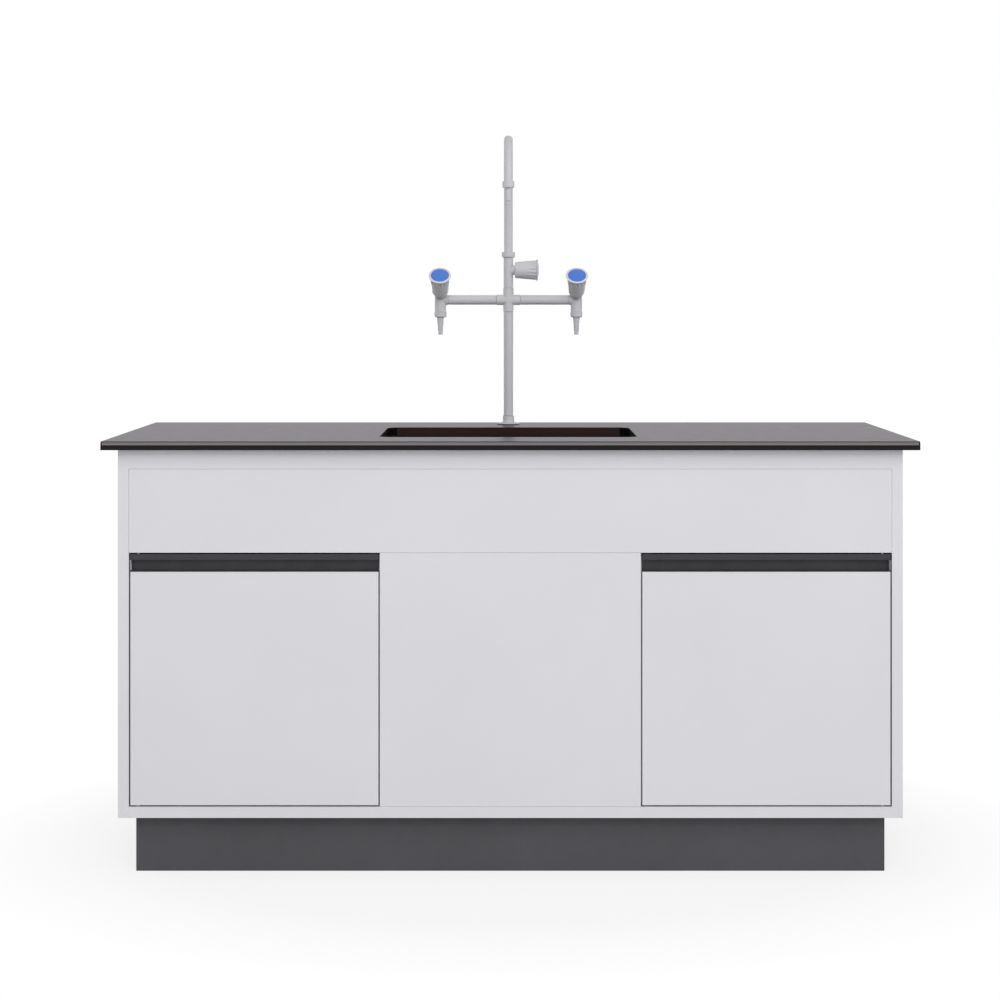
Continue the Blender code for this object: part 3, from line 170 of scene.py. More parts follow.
# Tap
EDGE = 0.0006  # rounding of a turned edge
JOINT = 0.0012  # rounding of both edges at a joint between tubes
TUBE_RADIUS = 0.010
TUBE_BORE = 0.008
CROSS_RADIUS = 0.0108
VALVE_RADIUS = 0.0118
VALVE_CROWN = 0.011
VALVE_CROWN_ROUND = 0.0055
VALVE_DROP = 0.025
VALVE_BOSS_REACH = 0.0155
SIDE_BONNET = ((0.0092, 0.0), (0.0092, 0.0162), (0.0130, 0.0167))  # radius and distance from the axis
SIDE_BONNET_END = 0.0156
TOP_BONNET = ((0.00995, 0.0),)
TOP_BONNET_END = 0.00995
BONNET_GAP = 0.0004  # between a bonnet and its knob
SPINDLE_RADIUS = 0.004
SPINDLE_LENGTH = 0.024
KNOB_TILT = Matrix.Rotation(math.radians(45), 4, "X")
SIDE_KNOB_START = 0.0242
TOP_KNOB_START = 0.0136
SHANK_RADIUS = 0.0095
SHANK_SLACK = 0.0010
SHANK_BORE = 0.005
NUT_CHAMFER = 0.0014
SEAL_HEIGHT = 0.0010
SEAL_INSET = 0.0130  # from the flange's edge to the seal under it, a black ring that also paints the shade line under the flange
FLANGE_EDGE = 0.0026
FLANGE_TOP = 0.0050
COLLAR_RADIUS = 0.0118
COLLAR_TOP = 0.018
SPIGOT_RADIUS = 0.0077
SPIGOT_LENGTH = 0.009
SWIVEL_CHAMFER = 0.002
SPOUT_RADIUS = 0.009
SPOUT_WALL = 0.0015
SPOUT_SOCKET = 0.008
SPOUT_COLLAR_HEIGHT = 0.0135
SPOUT_COLLAR_ROUND = 0.0030
SPOUT_NOZZLE = 0.0057
SPOUT_TIP = 0.0040
SPOUT_TIP_LENGTH = 0.0086
SPOUT_TIP_ROUND = 0.0015
HOSE_COLLAR_HEIGHT = 0.011
HOSE_GROOVE = 0.0003
HOSE_GROOVE_DROP = 0.0022  # from the collar's top to its groove
HOSE_SPIGOT = 0.006
HOSE_COLLAR_ROUND = 0.0028
HOSE_BARBS = 8
HOSE_ROOT = 0.0075
HOSE_TIP = 0.0044
HOSE_BARB = 0.0003
HOSE_BORE = 0.0022

# Knobs
KNOB_LENGTH = 0.0472
KNOB_SMALL = 0.0167
KNOB_LARGE = 0.0205
KNOB_RIM = 0.0231
KNOB_RIM_HEIGHT = 0.0036
KNOB_RIM_ROUND = 0.0005
KNOB_RIM_RISE = 0.0007  # of the ring round the cap, from its outer to its inner edge
KNOB_HEEL = 0.0012
KNOB_FLUTES = 16
FLUTE_DEPTH = 0.0012
FLUTE_LENGTH = 0.018
FLUTE_RUN = 0.5  # share of a flute's length over which it deepens
FLUTE_STEPS = 12
FLUTE_WIDTH = 1.25  # a higher value makes narrower flutes
CAP_RADIUS = 0.0184
CAP_DEPTH = 0.0030
CAP_DOME = 0.0014
CAP_CROWN = 0.009
CAP_CROWN_ROUND = 0.05

# Threads
PITCH = 0.00175
THREAD_DEPTH = 0.0008
THREAD_STEPS = 4

# Finishes
DRIFT_SCALE = 3.0  # of the slow change of a colour
GLOSS_SCALE = 35.0  # of the uneven gloss
GLOSS_DETAIL = 4.0
DETAIL = 3.0  # of the other noises
NOISE_RANGE = (0.35, 0.65)  # values of a noise that are spread over a range
SPECK_RANGE = (0.56, 0.70)  # values of the grain over which specks appear
BUMP_STRENGTH = 0.6
MIX_FIRST = 6  # sockets of a mix node that hold colours
MIX_SECOND = 7
MIX_RESULT = 2

# Camera, read from the photograph's perspective
CAMERA_PLACE = (0.0, -5.155, 1.0588)
CAMERA_LENS = 94.1
CAMERA_SENSOR = 36.0
CAMERA_SHIFT = (-0.01035, -0.2)

# Light
AMBIENT = 0.28
STUDIO_TINT = (1.0, 0.96, 1.01)  # of the surroundings that the bench mirrors
LAMPS = (  # name, place, size and power; the last two lie lower than the worktop, which must not mirror them
    ("key", (0.4, -5.8, 4.9), (6.0, 4.5), 172.0),
    ("front", (0.0, -7.0, 2.2), (8.0, 4.0), 163.0),
    ("side", (8.0, -2.5, 2.0), (3.0, 3.0), 110.0),
    ("top", (0.0, 1.5, 4.5), (3.0, 3.0), 15.0),
    ("back", (0.0, 7.0, 0.4), (8.0, 0.7), 150.0),
    ("left", (-7.5, 2.5, 0.4), (4.0, 0.7), 70.0),
)
AIM = (0.0, 0.0, 0.7)
FLOOR_SIZE = 30.0
FLOOR_COLOUR = 0.85
FLOOR_FADE = (0.7, 1.1)  # distance from the middle over which the floor turns into the background
FLOOR_SHADE = 0.2  # share of the floor's own shading that shows near the bench


# Materials

def feed(tree, node, inputs):
    """Give inputs of a node, by name or number, a value or another node's output."""
    for key, value in inputs.items():
        if isinstance(value, bpy.types.NodeSocket):
            tree.links.new(value, node.inputs[key])
        else:
            node.inputs[key].default_value = value


def noise(tree, vector, scale, detail):
    """Add a noise texture over the given coordinates."""
    node = tree.nodes.new("ShaderNodeTexNoise")
    feed(tree, node, {"Vector": vector, "Scale": scale, "Detail": detail})
    return node.outputs["Fac"]


def ranged(tree, value, low, high, source=NOISE_RANGE):
    """Map a value from a source range to a range."""
    node = tree.nodes.new("ShaderNodeMapRange")
    feed(tree, node, {"Value": value, "From Min": source[0], "From Max": source[1]})
    feed(tree, node, {"To Min": low, "To Max": high})
    return node.outputs["Result"]


def mixed(tree, factor, first, second):
    """Mix two colours; the first is a colour or another node's output."""
    node = tree.nodes.new("ShaderNodeMix")
    node.data_type = "RGBA"
    if isinstance(first, tuple):
        first = (*first, 1.0)
    feed(tree, node, {"Factor": factor, MIX_FIRST: first, MIX_SECOND: (*second, 1.0)})
    return node.outputs[MIX_RESULT]


def finish(name, colour, drift, roughness, grain, depth, specular, **more):
    """Make a finish: a drifting colour, uneven gloss, and a grain of a given fineness and depth.

    More may give metallic, a speck colour, and a stretch of the grain.
    """
    material = bpy.data.materials.new(f"{name}_finish")
    material.use_nodes = True
    tree = material.node_tree
    place = tree.nodes.new("ShaderNodeTexCoord").outputs["Object"]
    mapping = tree.nodes.new("ShaderNodeMapping")
    feed(tree, mapping, {"Vector": place, "Scale": more.get("stretch", (1.0, 1.0, 1.0))})
    along = mapping.outputs["Vector"]

    darker = tuple(channel * (1.0 - drift) for channel in colour)
    lighter = tuple(channel * (1.0 + drift) for channel in colour)
    paint = mixed(tree, ranged(tree, noise(tree, place, DRIFT_SCALE, DETAIL), 0.0, 1.0), darker, lighter)
    fine = noise(tree, along, grain, DETAIL)
    if "speck" in more:
        paint = mixed(tree, ranged(tree, fine, 0.0, 1.0, SPECK_RANGE), paint, more["speck"])
    bump = tree.nodes.new("ShaderNodeBump")
    feed(tree, bump, {"Strength": BUMP_STRENGTH, "Distance": depth, "Height": fine})
    feed(tree, tree.nodes["Principled BSDF"], {
        "Base Color": paint,
        "Metallic": more.get("metallic", 0.0),
        "Roughness": ranged(tree, noise(tree, along, GLOSS_SCALE, GLOSS_DETAIL), *roughness),
        "Specular IOR Level": specular,
        "Normal": bump.outputs["Normal"],
    })
    return material


def make_finishes():
    """Make the finish of every material slot, and of the looks that a slot's piece shows beside it, some of
    which are painted highlight or painted shade.
    """
    rows = (
        ("light_powder_coat", (0.68, 0.675, 0.706), 0.012, (0.42, 0.52), 900, 0.00006, 0.30),
        ("dark_plinth_laminate", (0.066, 0.064, 0.071), 0.05, (0.50, 0.62), 1500, 0.00008, 0.25),
        ("dark_handle_coat", (0.025, 0.0235, 0.0280), 0.04, (0.38, 0.50), 1100, 0.00005, 0.30),
        ("dark_worktop", (0.0095, 0.0085, 0.0105), 0.04, (0.29, 0.31), 1300, 0.00002, 0.06),
        # painted highlight: the lighter colour of the front edge's band stands in for the highlight on the
        # rounded arris
        ("worktop_edge_painted_highlight", (0.160, 0.143, 0.139), 0.02, (0.30, 0.32), 900, 0.00002, 0.20),
        ("worktop_core", (0.0310, 0.0190, 0.0180), 0.10, (0.50, 0.60), 900, 0.00004, 0.02),
        # painted shade: a near-black copy of the core for the cut-out's side walls and corners, which lie in
        # shade
        ("worktop_cut_painted_shade", (0.0035, 0.0032, 0.0034), 0.10, (0.50, 0.60), 900, 0.00004, 0.02),
        ("black_polypropylene", (0.0085, 0.0072, 0.0070), 0.08, (0.36, 0.46), 700, 0.00005, 0.20),
        ("grey_tap_coat", (0.612, 0.600, 0.628), 0.015, (0.36, 0.46), 1000, 0.00004, 0.15),
        ("grey_knob_plastic", (0.625, 0.615, 0.640), 0.015, (0.40, 0.52), 1200, 0.00005, 0.20),
        # painted highlight: the ring round the cap is lighter than the knob to stand in for the light on its
        # rim
        ("knob_ring_painted_highlight", (0.74, 0.73, 0.75), 0.015, (0.36, 0.46), 1200, 0.00003, 0.20),
        ("blue_cap_plastic", (0.086, 0.220, 0.690), 0.03, (0.30, 0.38), 800, 0.00003, 0.15),
        ("zinc_plated_steel", (0.36, 0.36, 0.372), 0.06, (0.40, 0.54), 600, 0.00003, 0.50),
        ("stainless_steel", (0.60, 0.60, 0.61), 0.04, (0.22, 0.36), 700, 0.00004, 0.50),
        ("white_nylon", (0.78, 0.78, 0.75), 0.02, (0.42, 0.55), 800, 0.00005, 0.35),
        ("black_rubber", (0.020, 0.020, 0.021), 0.10, (0.70, 0.85), 900, 0.00015, 0.25),
        ("grey_waste_plastic", (0.30, 0.30, 0.31), 0.03, (0.38, 0.50), 900, 0.00005, 0.35),
    )
    more = {
        "dark_plinth_laminate": {"speck": (0.085, 0.083, 0.090)},
        "dark_worktop": {"speck": (0.0125, 0.0115, 0.0135)},
        "zinc_plated_steel": {"metallic": 1.0},
        "stainless_steel": {"metallic": 1.0, "stretch": (0.08, 1.0, 1.0)},
    }
    return {row[0]: finish(*row, **more.get(row[0], {})) for row in rows}


FINISH = make_finishes()


# Mesh helpers

def rounded(points, closed=True):
    """Round the corners of an outline; a point is (u, v), or (u, v, radius) where it is rounded."""
    outline = []
    last = len(points) - 1
    for number, point in enumerate(points):
        here = Vector(point[:2])
        if len(point) < 3 or (not closed and number in (0, last)):
            outline.append(here)
            continue
        before = (Vector(points[number - 1][:2]) - here).normalized()
        after = (Vector(points[(number + 1) % len(points)][:2]) - here).normalized()
        half = before.angle(after) / 2
        centre = here + (before + after).normalized() * (point[2] / math.sin(half))
        start = here + before * (point[2] / math.tan(half)) - centre
        end = here + after * (point[2] / math.tan(half)) - centre
        sweep = math.pi - 2 * half
        for step in range(ARC_STEPS + 1):
            share = step / ARC_STEPS
            arm = start * math.sin((1 - share) * sweep) + end * math.sin(share * sweep)
            outline.append(centre + arm / math.sin(sweep))
    return outline


def loft(loops, ring=False, matrix=None):
    """Join neighbouring loops of points with faces; a loop of one point closes an end."""
    bm = bmesh.new()
    rows = [[bm.verts.new(point) for point in loop] for loop in loops]
    pairs = list(zip(rows, rows[1:]))
    if ring:
        pairs.append((rows[-1], rows[0]))
    for first, second in pairs:
        count = max(len(first), len(second))
        for here in range(count):
            there = (here + 1) % count
            corners = (
                first[here % len(first)],
                first[there % len(first)],
                second[there % len(second)],
                second[here % len(second)],
            )
            bm.faces.new(dict.fromkeys(corners))
    if not ring:
        for row in (rows[0], rows[-1]):
            if len(row) > 1:
                bm.faces.new(row)
    if matrix is not None:
        bmesh.ops.transform(bm, matrix=matrix, verts=bm.verts[:])
    bmesh.ops.recalc_face_normals(bm, faces=bm.faces[:])
    return bm


def polar(radius, angle, height):
    """Point at an angle about Z."""
    return (radius * math.cos(angle), radius * math.sin(angle), height)


def circle(radius, height, segments):
    """Points of a circle about Z, or its centre where the radius is nothing."""
    if radius < MERGE:
        return [(0.0, 0.0, height)]
    return [polar(radius, math.tau * number / segments, height) for number in range(segments)]


def lathe(profile, place, turn=None, ring=False, segments=ROUND):
    """Turn a profile of (radius, height, rounding) points about Z, then turn and place the result."""
    loops = [circle(radius, height, segments) for radius, height in rounded(profile, closed=ring)]
    matrix = Matrix.Translation(place)
    if turn is not None:
        matrix = matrix @ turn
    return loft(loops, ring, matrix)


def stepped(inner, *cylinders):
    """Profile of cylinders one after another, from an inner radius and back to it.

    A cylinder is (radius, low, high), or also has the rounding of its low edge and of its high edge.
    """
    points = [(inner, cylinders[0][1])]
    for radius, low, high, *edges in cylinders:
        for height, edge in zip((low, high), edges or (0.0, 0.0)):
            points.append((radius, height, edge) if edge else (radius, height))
    points.append((inner, cylinders[-1][2]))
    return points


def rod(radius, low, high, place, turn=None, segments=ROUND):
    """Turn a solid cylinder with rounded edges."""
    return lathe(stepped(0.0, (radius, low, high, EDGE, EDGE)), place, turn, segments=segments)


def sleeve(bore, radius, low, high, place, turn=None):
    """Turn a tube with rounded outer edges."""
    return lathe(stepped(bore, (radius, low, high, JOINT, JOINT)), place, turn, ring=True)


def thread(radius, low, high, place):
    """Turn a rod with a helical thread between two heights."""
    count = round((high - low) / PITCH * THREAD_STEPS)
    loops = []
    for step in range(count + 1):
        height = low + (high - low) * step / count
        loop = []
        for number in range(SMALL_ROUND):
            share = number / SMALL_ROUND
            wave = abs((height / PITCH - share) % 1.0 * 2 - 1)
            loop.append(polar(radius - THREAD_DEPTH * wave, math.tau * share, height))
        loops.append(loop)
    return loft(loops, matrix=Matrix.Translation(place))


def plan(half_x, half_y, radius, height, centre=(0.0, 0.0)):
    """Flat rectangle with round corners, counter-clockwise from its right side."""
    points = []
    for corner, (sign_x, sign_y) in enumerate(((1, 1), (-1, 1), (-1, -1), (1, -1))):
        for step in range(CORNER_STEPS + 1):
            angle = math.pi / 2 * (corner + step / CORNER_STEPS)
            x = centre[0] + sign_x * (half_x - radius) + radius * math.cos(angle)
            y = centre[1] + sign_y * (half_y - radius) + radius * math.sin(angle)
            points.append((x, y, height))
    return points


def block(low, high, edge):
    """Make a block with rounded edges between two corners."""
    size = Vector(high) - Vector(low)
    matrix = Matrix.Translation((Vector(low) + Vector(high)) / 2) @ Matrix.Diagonal((*size, 1.0))
    bm = bmesh.new()
    bmesh.ops.create_cube(bm, size=1.0, matrix=matrix)
    if edge:
        bmesh.ops.bevel(bm, geom=bm.edges[:], offset=edge, segments=BEVEL_STEPS, profile=0.5, affect="EDGES")
    return bm


def loose_object(name, bm):
    """Link a mesh to the scene as it is."""
    mesh = bpy.data.meshes.new(name)
    bm.to_mesh(mesh)
    bm.free()
    item = bpy.data.objects.new(name, mesh)
    bpy.context.scene.collection.objects.link(item)
    return item


def carve(bm, tools, operation="DIFFERENCE"):
    """Cut tool shapes out of a mesh, or join them to it."""
    item = loose_object("carved", bm)
    helpers = [item]
    for tool in tools:
        helper = loose_object("tool", tool)
        step = item.modifiers.new("step", "BOOLEAN")
        step.operation = operation
        step.solver = "EXACT"
        step.object = helper
        helpers.append(helper)
    bpy.context.view_layer.update()
    shape = item.evaluated_get(bpy.context.evaluated_depsgraph_get())
    result = bmesh.new()
    result.from_mesh(shape.to_mesh())
    shape.to_mesh_clear()
    for helper in helpers:
        mesh = helper.data
        bpy.data.objects.remove(helper)
        bpy.data.meshes.remove(mesh)
    bmesh.ops.remove_doubles(result, verts=result.verts[:], dist=MERGE)
    return result


def gather(meshes):
    """Put several meshes into one."""
    result = bmesh.new()
    for bm in meshes:
        mesh = bpy.data.meshes.new("gathered")
        bm.to_mesh(mesh)
        bm.free()
        result.from_mesh(mesh)
        bpy.data.meshes.remove(mesh)
    return result


def show(bm, node, name=None, slot=None, looks=None):
    """Show a mesh that moves with a node's body; it stands for the node unless it has a name of its own.

    The looks are the finishes of its material indices, where they aren't just that of its slot.
    """
    slot = slot or SLOT[node]
    bmesh.ops.recalc_face_normals(bm, faces=bm.faces[:])
    item = loose_object(name or f"{node}_detailed", bm)
    item.data.shade_smooth()
    item.data.set_sharp_from_angle(angle=SHARP)
    for look in looks or (slot,):
        item.data.materials.append(FINISH[look])
    normals = item.modifiers.new("normals", "WEIGHTED_NORMAL")
    normals.keep_sharp = True
    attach(item, BODY[node])
    if name is None:
        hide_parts(node)


def middle(node):
    """Middle of a node's box."""
    low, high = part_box(node)
    return (low + high) / 2


def half_width(node):
    """Half of a node's size along X, which is the radius of a round node."""
    low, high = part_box(node)
    return (high.x - low.x) / 2


def floor_point(node):
    """Point of the floor under a node's middle."""
    return Vector((*middle(node)[:2], 0.0))


# Cabinet

def stacked(profile, low, high, outward, corner):
    """Stack rectangles by a profile of (inset, depth) points, from the side that looks outward."""
    inward = -Vector(outward)
    size = high - low
    depth = abs(size.dot(inward))
    across = [axis for axis in Matrix.Identity(3) if abs(axis.dot(inward)) < 0.5]
    half_x, half_y = [abs(size.dot(axis)) / 2 for axis in across]
    loops = []
    for inset, level in rounded(profile, closed=False):
        loops.append(plan(half_x - inset, half_y - inset, corner(inset), level))
    matrix = Matrix.Identity(4)
    for column, axis in enumerate((*across, inward)):
        matrix.col[column][:3] = axis
    matrix.translation = (low + high) / 2 - inward * depth / 2
    return loft(loops, matrix=matrix)


def folded(wall, depth, fold):
    """Profile of a folded edge, as (inset, depth) points from the face to its back."""
    inner = (wall, wall, fold - wall) if fold > wall else (wall, wall)
    flat = fold + SUPPORT
    return ((flat, 0.0), (0.0, 0.0, fold), (0.0, depth), (wall, depth), inner, (flat, wall))


def tray(low, high, wall, outward, fold=FOLD):
    """Fold a tray out of sheet, closed on the side that looks outward."""
    depth = abs((high - low).dot(Vector(outward)))
    return stacked(folded(wall, depth, fold), low, high, outward, lambda inset: max(fold - inset, TINY))


def build_front_frame():
    """Folded frame round the fronts, with a hole for each lower pivot pin."""
    low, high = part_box("front_frame")
    fascia_low, fascia_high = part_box("fascia_panel")
    joint = Vector((PANEL_JOINT, 0.0, PANEL_JOINT))
    opening_low = Vector((fascia_low.x, low.y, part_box("centre_panel")[0].z)) - joint
    opening_high = fascia_high + joint
    edge = rounded(folded(SHEET, high.y - low.y, FINE_FOLD), closed=False)
    loops = [upright(low, high, inset, low.y + level) for inset, level in edge]
    loops += [upright(opening_low, opening_high, -inset, low.y + level) for inset, level in reversed(edge)]
    holes = [pivot_hole(sign, opening_low.z, PIN_HOLE) for _, sign in SIDES]
    show(carve(loft(loops, ring=True), holes), "front_frame")


def upright(low, high, inset, y):
    """Upright rectangle between two corners, at one depth."""
    centre = ((low.x + high.x) / 2, (low.z + high.z) / 2)
    half_x = (high.x - low.x) / 2 - inset
    half_z = (high.z - low.z) / 2 - inset
    return [(x, y, z) for x, z, _ in plan(half_x, half_z, TINY, 0.0, centre)]


def pivot_hole(sign, height, radius):
    """Cutter for a pivot's hole through a sheet."""
    pivot = middle("pivot_pin_top_left" if sign < 0 else "pivot_pin_top_right")
    return rod(radius, -SHEET_CUT, SHEET_CUT, (pivot.x, pivot.y, height), segments=SMALL_ROUND)


def build_panels():
    """Fascia, centre panel, sides and back, all folded trays."""
    closer = Vector((CLOSER, 0.0, CLOSER))
    low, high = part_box("fascia_panel")
    fascia = tray(low - closer, high + closer, SHEET, (0, -1, 0), FINE_FOLD)
    show(carve(fascia, [pivot_hole(sign, low.z, PIVOT_HOLE) for _, sign in SIDES]), "fascia_panel")
    low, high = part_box("centre_panel")
    show(tray(low - closer, high + closer, SHEET, (0, -1, 0), FINE_FOLD), "centre_panel")
    for name, sign in SIDES:
        node = f"side_panel_{name}"
        show(tray(*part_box(node), SHEET, (sign, 0, 0)), node)
    low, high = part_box("back_panel")
    pipe = middle("bottle_trap")
    pipe_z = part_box("bottle_trap")[0].z + TRAP_CUP_HEIGHT - PIPE_DROP
    hole = rod(PIPE_RADIUS + PIPE_SLACK, -PIPE_CUT, PIPE_CUT, (pipe.x, high.y, pipe_z), ALONG_Y)
    show(carve(tray(low, high, SHEET, (0, 1, 0)), [hole]), "back_panel")
    build_screws(low, high)


def build_screws(low, high):
    """Pan-head screws round the back panel's edge."""
    heads = []
    for row in range(SCREW_ROWS):
        for column in range(SCREW_COLUMNS):
            if 0 < row < SCREW_ROWS - 1 and 0 < column < SCREW_COLUMNS - 1:
                continue
            x = low.x + SCREW_INSET + (high.x - low.x - 2 * SCREW_INSET) * column / (SCREW_COLUMNS - 1)
            z = low.z + SCREW_INSET + (high.z - low.z - 2 * SCREW_INSET) * row / (SCREW_ROWS - 1)
            heads.append(screw_head(Vector((x, high.y, z))))
    show(gather(heads), "back_panel", "back_panel_screws", "zinc_plated_steel")


def screw_head(place):
    """Domed head with a crossed slot, looking towards +Y."""
    profile = (
        (0.0, 0.0),
        (SCREW_RADIUS, 0.0),
        (SCREW_RADIUS, SCREW_HEIGHT / 2, SCREW_HEIGHT / 4),
        (SCREW_RADIUS / 2, SCREW_HEIGHT, SCREW_HEIGHT / 2),
        (0.0, SCREW_HEIGHT),
    )
    reach = SCREW_RADIUS * SCREW_CROSS
    top = SCREW_HEIGHT + SCREW_SLOT
    slots = []
    for half_x, half_z in ((reach, SCREW_SLOT / 2), (SCREW_SLOT / 2, reach)):
        low = place + Vector((-half_x, SCREW_HEIGHT - SCREW_SLOT, -half_z))
        slots.append(block(low, place + Vector((half_x, top, half_z)), 0.0))
    return carve(lathe(profile, place, ALONG_Y, segments=SMALL_ROUND), slots)


def build_door(name, sign):
    """Outer tray, pressed liner and handle profile of a door, with holes for its pivots, a sheet that closes
    the handle's recess, and its catch.
    """
    low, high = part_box(f"door_{name}")
    panel = tray(low, high, DOOR_SHEET, (0, -1, 0))
    show(carve(panel, [pivot_hole(sign, low.z, PIVOT_HOLE)]), f"door_{name}")

    low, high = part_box(f"door_liner_{name}")
    inner = PRESS_MARGIN + PRESS_SLOPE
    face = (
        (inner + SUPPORT, PRESS_DEPTH),
        (inner, PRESS_DEPTH, PRESS_ROUND),
        (PRESS_MARGIN, 0.0, PRESS_ROUND),
        (0.0, 0.0),
    )
    rear = [(inset, level + DOOR_SHEET, *edge) for inset, level, *edge in reversed(face)]
    profile = (*face, *rear)
    liner = stacked(profile, low, high, (0, 1, 0), lambda inset: max(TINY, PRESS_CORNER * inset / inner))
    show(liner, f"door_liner_{name}")

    low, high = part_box(f"door_handle_{name}")
    outline = rounded(handle_outline(low, high))
    ends = [[(x, point.x, point.y) for point in outline] for x in (low.x, high.x)]
    show(carve(loft(ends), [pivot_hole(sign, high.z, PIN_HOLE)]), f"door_handle_{name}")
    start = low.x if sign < 0 else high.x - RECESS_END
    front = low.y + HANDLE_LIP + CLEARANCE
    back = high.y - HANDLE_WALL - CLEARANCE
    end_low = (start, front, low.z + HANDLE_WALL + CLEARANCE)
    end_high = (start + RECESS_END, back, high.z - HANDLE_WALL - HANDLE_ROUND)
    show(block(end_low, end_high, TINY), f"door_{name}", f"recess_end_{name}")

    show_block(f"door_catch_{name}", CATCH_EDGE)


def handle_outline(low, high):
    """Section of a handle profile as (y, z) points: a lip in front, a web behind, and a foot on the door."""
    lip_low = high.z - HANDLE_LIP_HEIGHT
    lip_back = low.y + HANDLE_LIP
    web = high.y - HANDLE_WALL
    return (
        (low.y, lip_low, HANDLE_EDGE),
        (lip_back, lip_low, HANDLE_EDGE),
        (lip_back, high.z - HANDLE_WALL, HANDLE_EDGE),
        (web, high.z - HANDLE_WALL, HANDLE_ROUND),
        (web, low.z + HANDLE_WALL, HANDLE_EDGE),
        (low.y + TINY, low.z + HANDLE_WALL, TINY),
        (low.y + TINY, low.z, TINY),
        (high.y, low.z, HANDLE_EDGE),
        (high.y, high.z, HANDLE_EDGE),
        (low.y, high.z, HANDLE_EDGE),
    )


def show_block(node, edge):
    """Show a node as a block with rounded edges."""
    show(block(*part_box(node), edge), node)


def build_plinth():
    """Boards with eased edges round the foot."""
    for side in ("front", "back", "left", "right"):
        show_block(f"plinth_{side}", BOARD_EDGE)


def build_feet():
    """Rubber pads, each on a threaded stem."""
    for depth_name in ("front", "back"):
        for side_name, _ in SIDES:
            node = f"levelling_foot_{depth_name}_{side_name}"
            low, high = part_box(node)
            place = floor_point(node)
            neck_high = low.z + FOOT_NECK_HIGH
            pad = stepped(
                0.0,
                (half_width(node), low.z, low.z + FOOT_RIM, FOOT_EDGE, FOOT_RIM_ROUND),
                (FOOT_NECK, low.z + FOOT_NECK_LOW, neck_high, FOOT_NECK_ROUND, FOOT_EDGE),
            )
            show(lathe(pad, place), node)
            stem = thread(FOOT_STEM, neck_high, high.z, place)
            show(stem, node, f"foot_stem_{depth_name}_{side_name}", "zinc_plated_steel")


def build_pivots(name):
    """Pins and bushes that a door turns on."""
    node = f"pivot_pin_top_{name}"
    foot = floor_point(node)
    low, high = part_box(node)
    head = low.z + PIN_HEAD_HEIGHT
    pin = stepped(0.0, (PIN_HEAD, low.z, head, PIN_EDGE, PIN_EDGE), (PIN, head, high.z, 0.0, EDGE))
    show(lathe(pin, foot, segments=SMALL_ROUND), node)
    node = f"pivot_pin_bottom_{name}"
    low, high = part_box(node)
    collar_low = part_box(f"pivot_bush_bottom_{name}")[0].z - PIN_COLLAR
    collar_high = collar_low + PIN_COLLAR_HEIGHT
    pin = stepped(
        0.0,
        (PIN, low.z, collar_low, EDGE, 0.0),
        (PIN_HEAD, collar_low, collar_high, PIN_EDGE, PIN_EDGE),
        (PIN, collar_high, high.z, 0.0, EDGE),
    )
    show(lathe(pin, foot, segments=SMALL_ROUND), node)
    for place, sheet in (("top", SHEET), ("bottom", DOOR_SHEET)):
        node = f"pivot_bush_{place}_{name}"
        low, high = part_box(node)
        rim_low = low.z + sheet + CLEARANCE
        rim_high = rim_low + BUSH_RIM
        bush = stepped(
            BUSH_BORE,
            (BUSH, low.z, rim_low),
            (half_width(node), rim_low, rim_high, PIN_EDGE, PIN_EDGE),
            (BUSH, rim_high, high.z, 0.0, PIN_EDGE),
        )
        show(lathe(bush, foot, ring=True, segments=SMALL_ROUND), node)


# Worktop and sink

def build_worktop():
    """Slab with a round front edge that carries a painted highlight, cut out for the sink and drilled for
    the tap, and the core that lines the cut-out, with painted shade on its side walls and corners.
    """
    low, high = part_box("worktop")
    ends = []
    for step in range(ARC_STEPS + 1):
        angle = math.pi / 2 * step / ARC_STEPS
        ends.append((WORKTOP_END * (1 - math.sin(angle)), high.x - WORKTOP_END * (1 - math.cos(angle))))
    band_end = high.x - HIGHLIGHT_BAND_END
    stations = [(inset, -x) for inset, x in ends] + [(0.0, -band_end), (0.0, band_end)] + ends[::-1]
    loops = [[(x, y, z) for y, z in worktop_section(inset)] for inset, x in stations]
    cut = (
        (0.0, low.z - PAST),
        (0.0, high.z, CUT_EASE),
        (CUT_EASE + TINY, high.z),
        (CUT_EASE + TINY, high.z + PAST),
    )
    mouth = loft([bowl_plan(grow - SINK_LEDGE, height) for grow, height in rounded(cut, closed=False)])
    hole = rod(SHANK_RADIUS + SHANK_SLACK, low.z - PAST, high.z + PAST, tap_foot())
    slab = carve(loft(loops), [mouth, hole])
    # faces on the rounded front edge, below the top, take the second look: a lighter colour that paints the
    # edge's highlight
    for face in slab.faces:
        x, y, z = face.calc_center_median()
        in_front = y < low.y + WORKTOP_ARRIS and abs(x) < band_end
        face.material_index = int(in_front and HIGHLIGHT_BAND_DROP < high.z - z < WORKTOP_ARRIS)
    show(slab, "worktop", looks=("dark_worktop", "worktop_edge_painted_highlight"))
    band = (
        (0.0, high.z - CUT_EASE),
        (0.0, low.z),
        (-CORE_SKIN, low.z),
        (-CORE_SKIN, high.z - CUT_EASE),
    )
    core = loft([bowl_plan(grow - SINK_LEDGE, height) for grow, height in band], ring=True)
    # faces other than the back wall take the second look, a near-black that paints the shade on the
    # cut-out's side walls and corners
    for face in core.faces:
        face.material_index = int(face.normal.y > -BACK_WALL)
    show(core, "worktop", "worktop_core", looks=("worktop_core", "worktop_cut_painted_shade"))


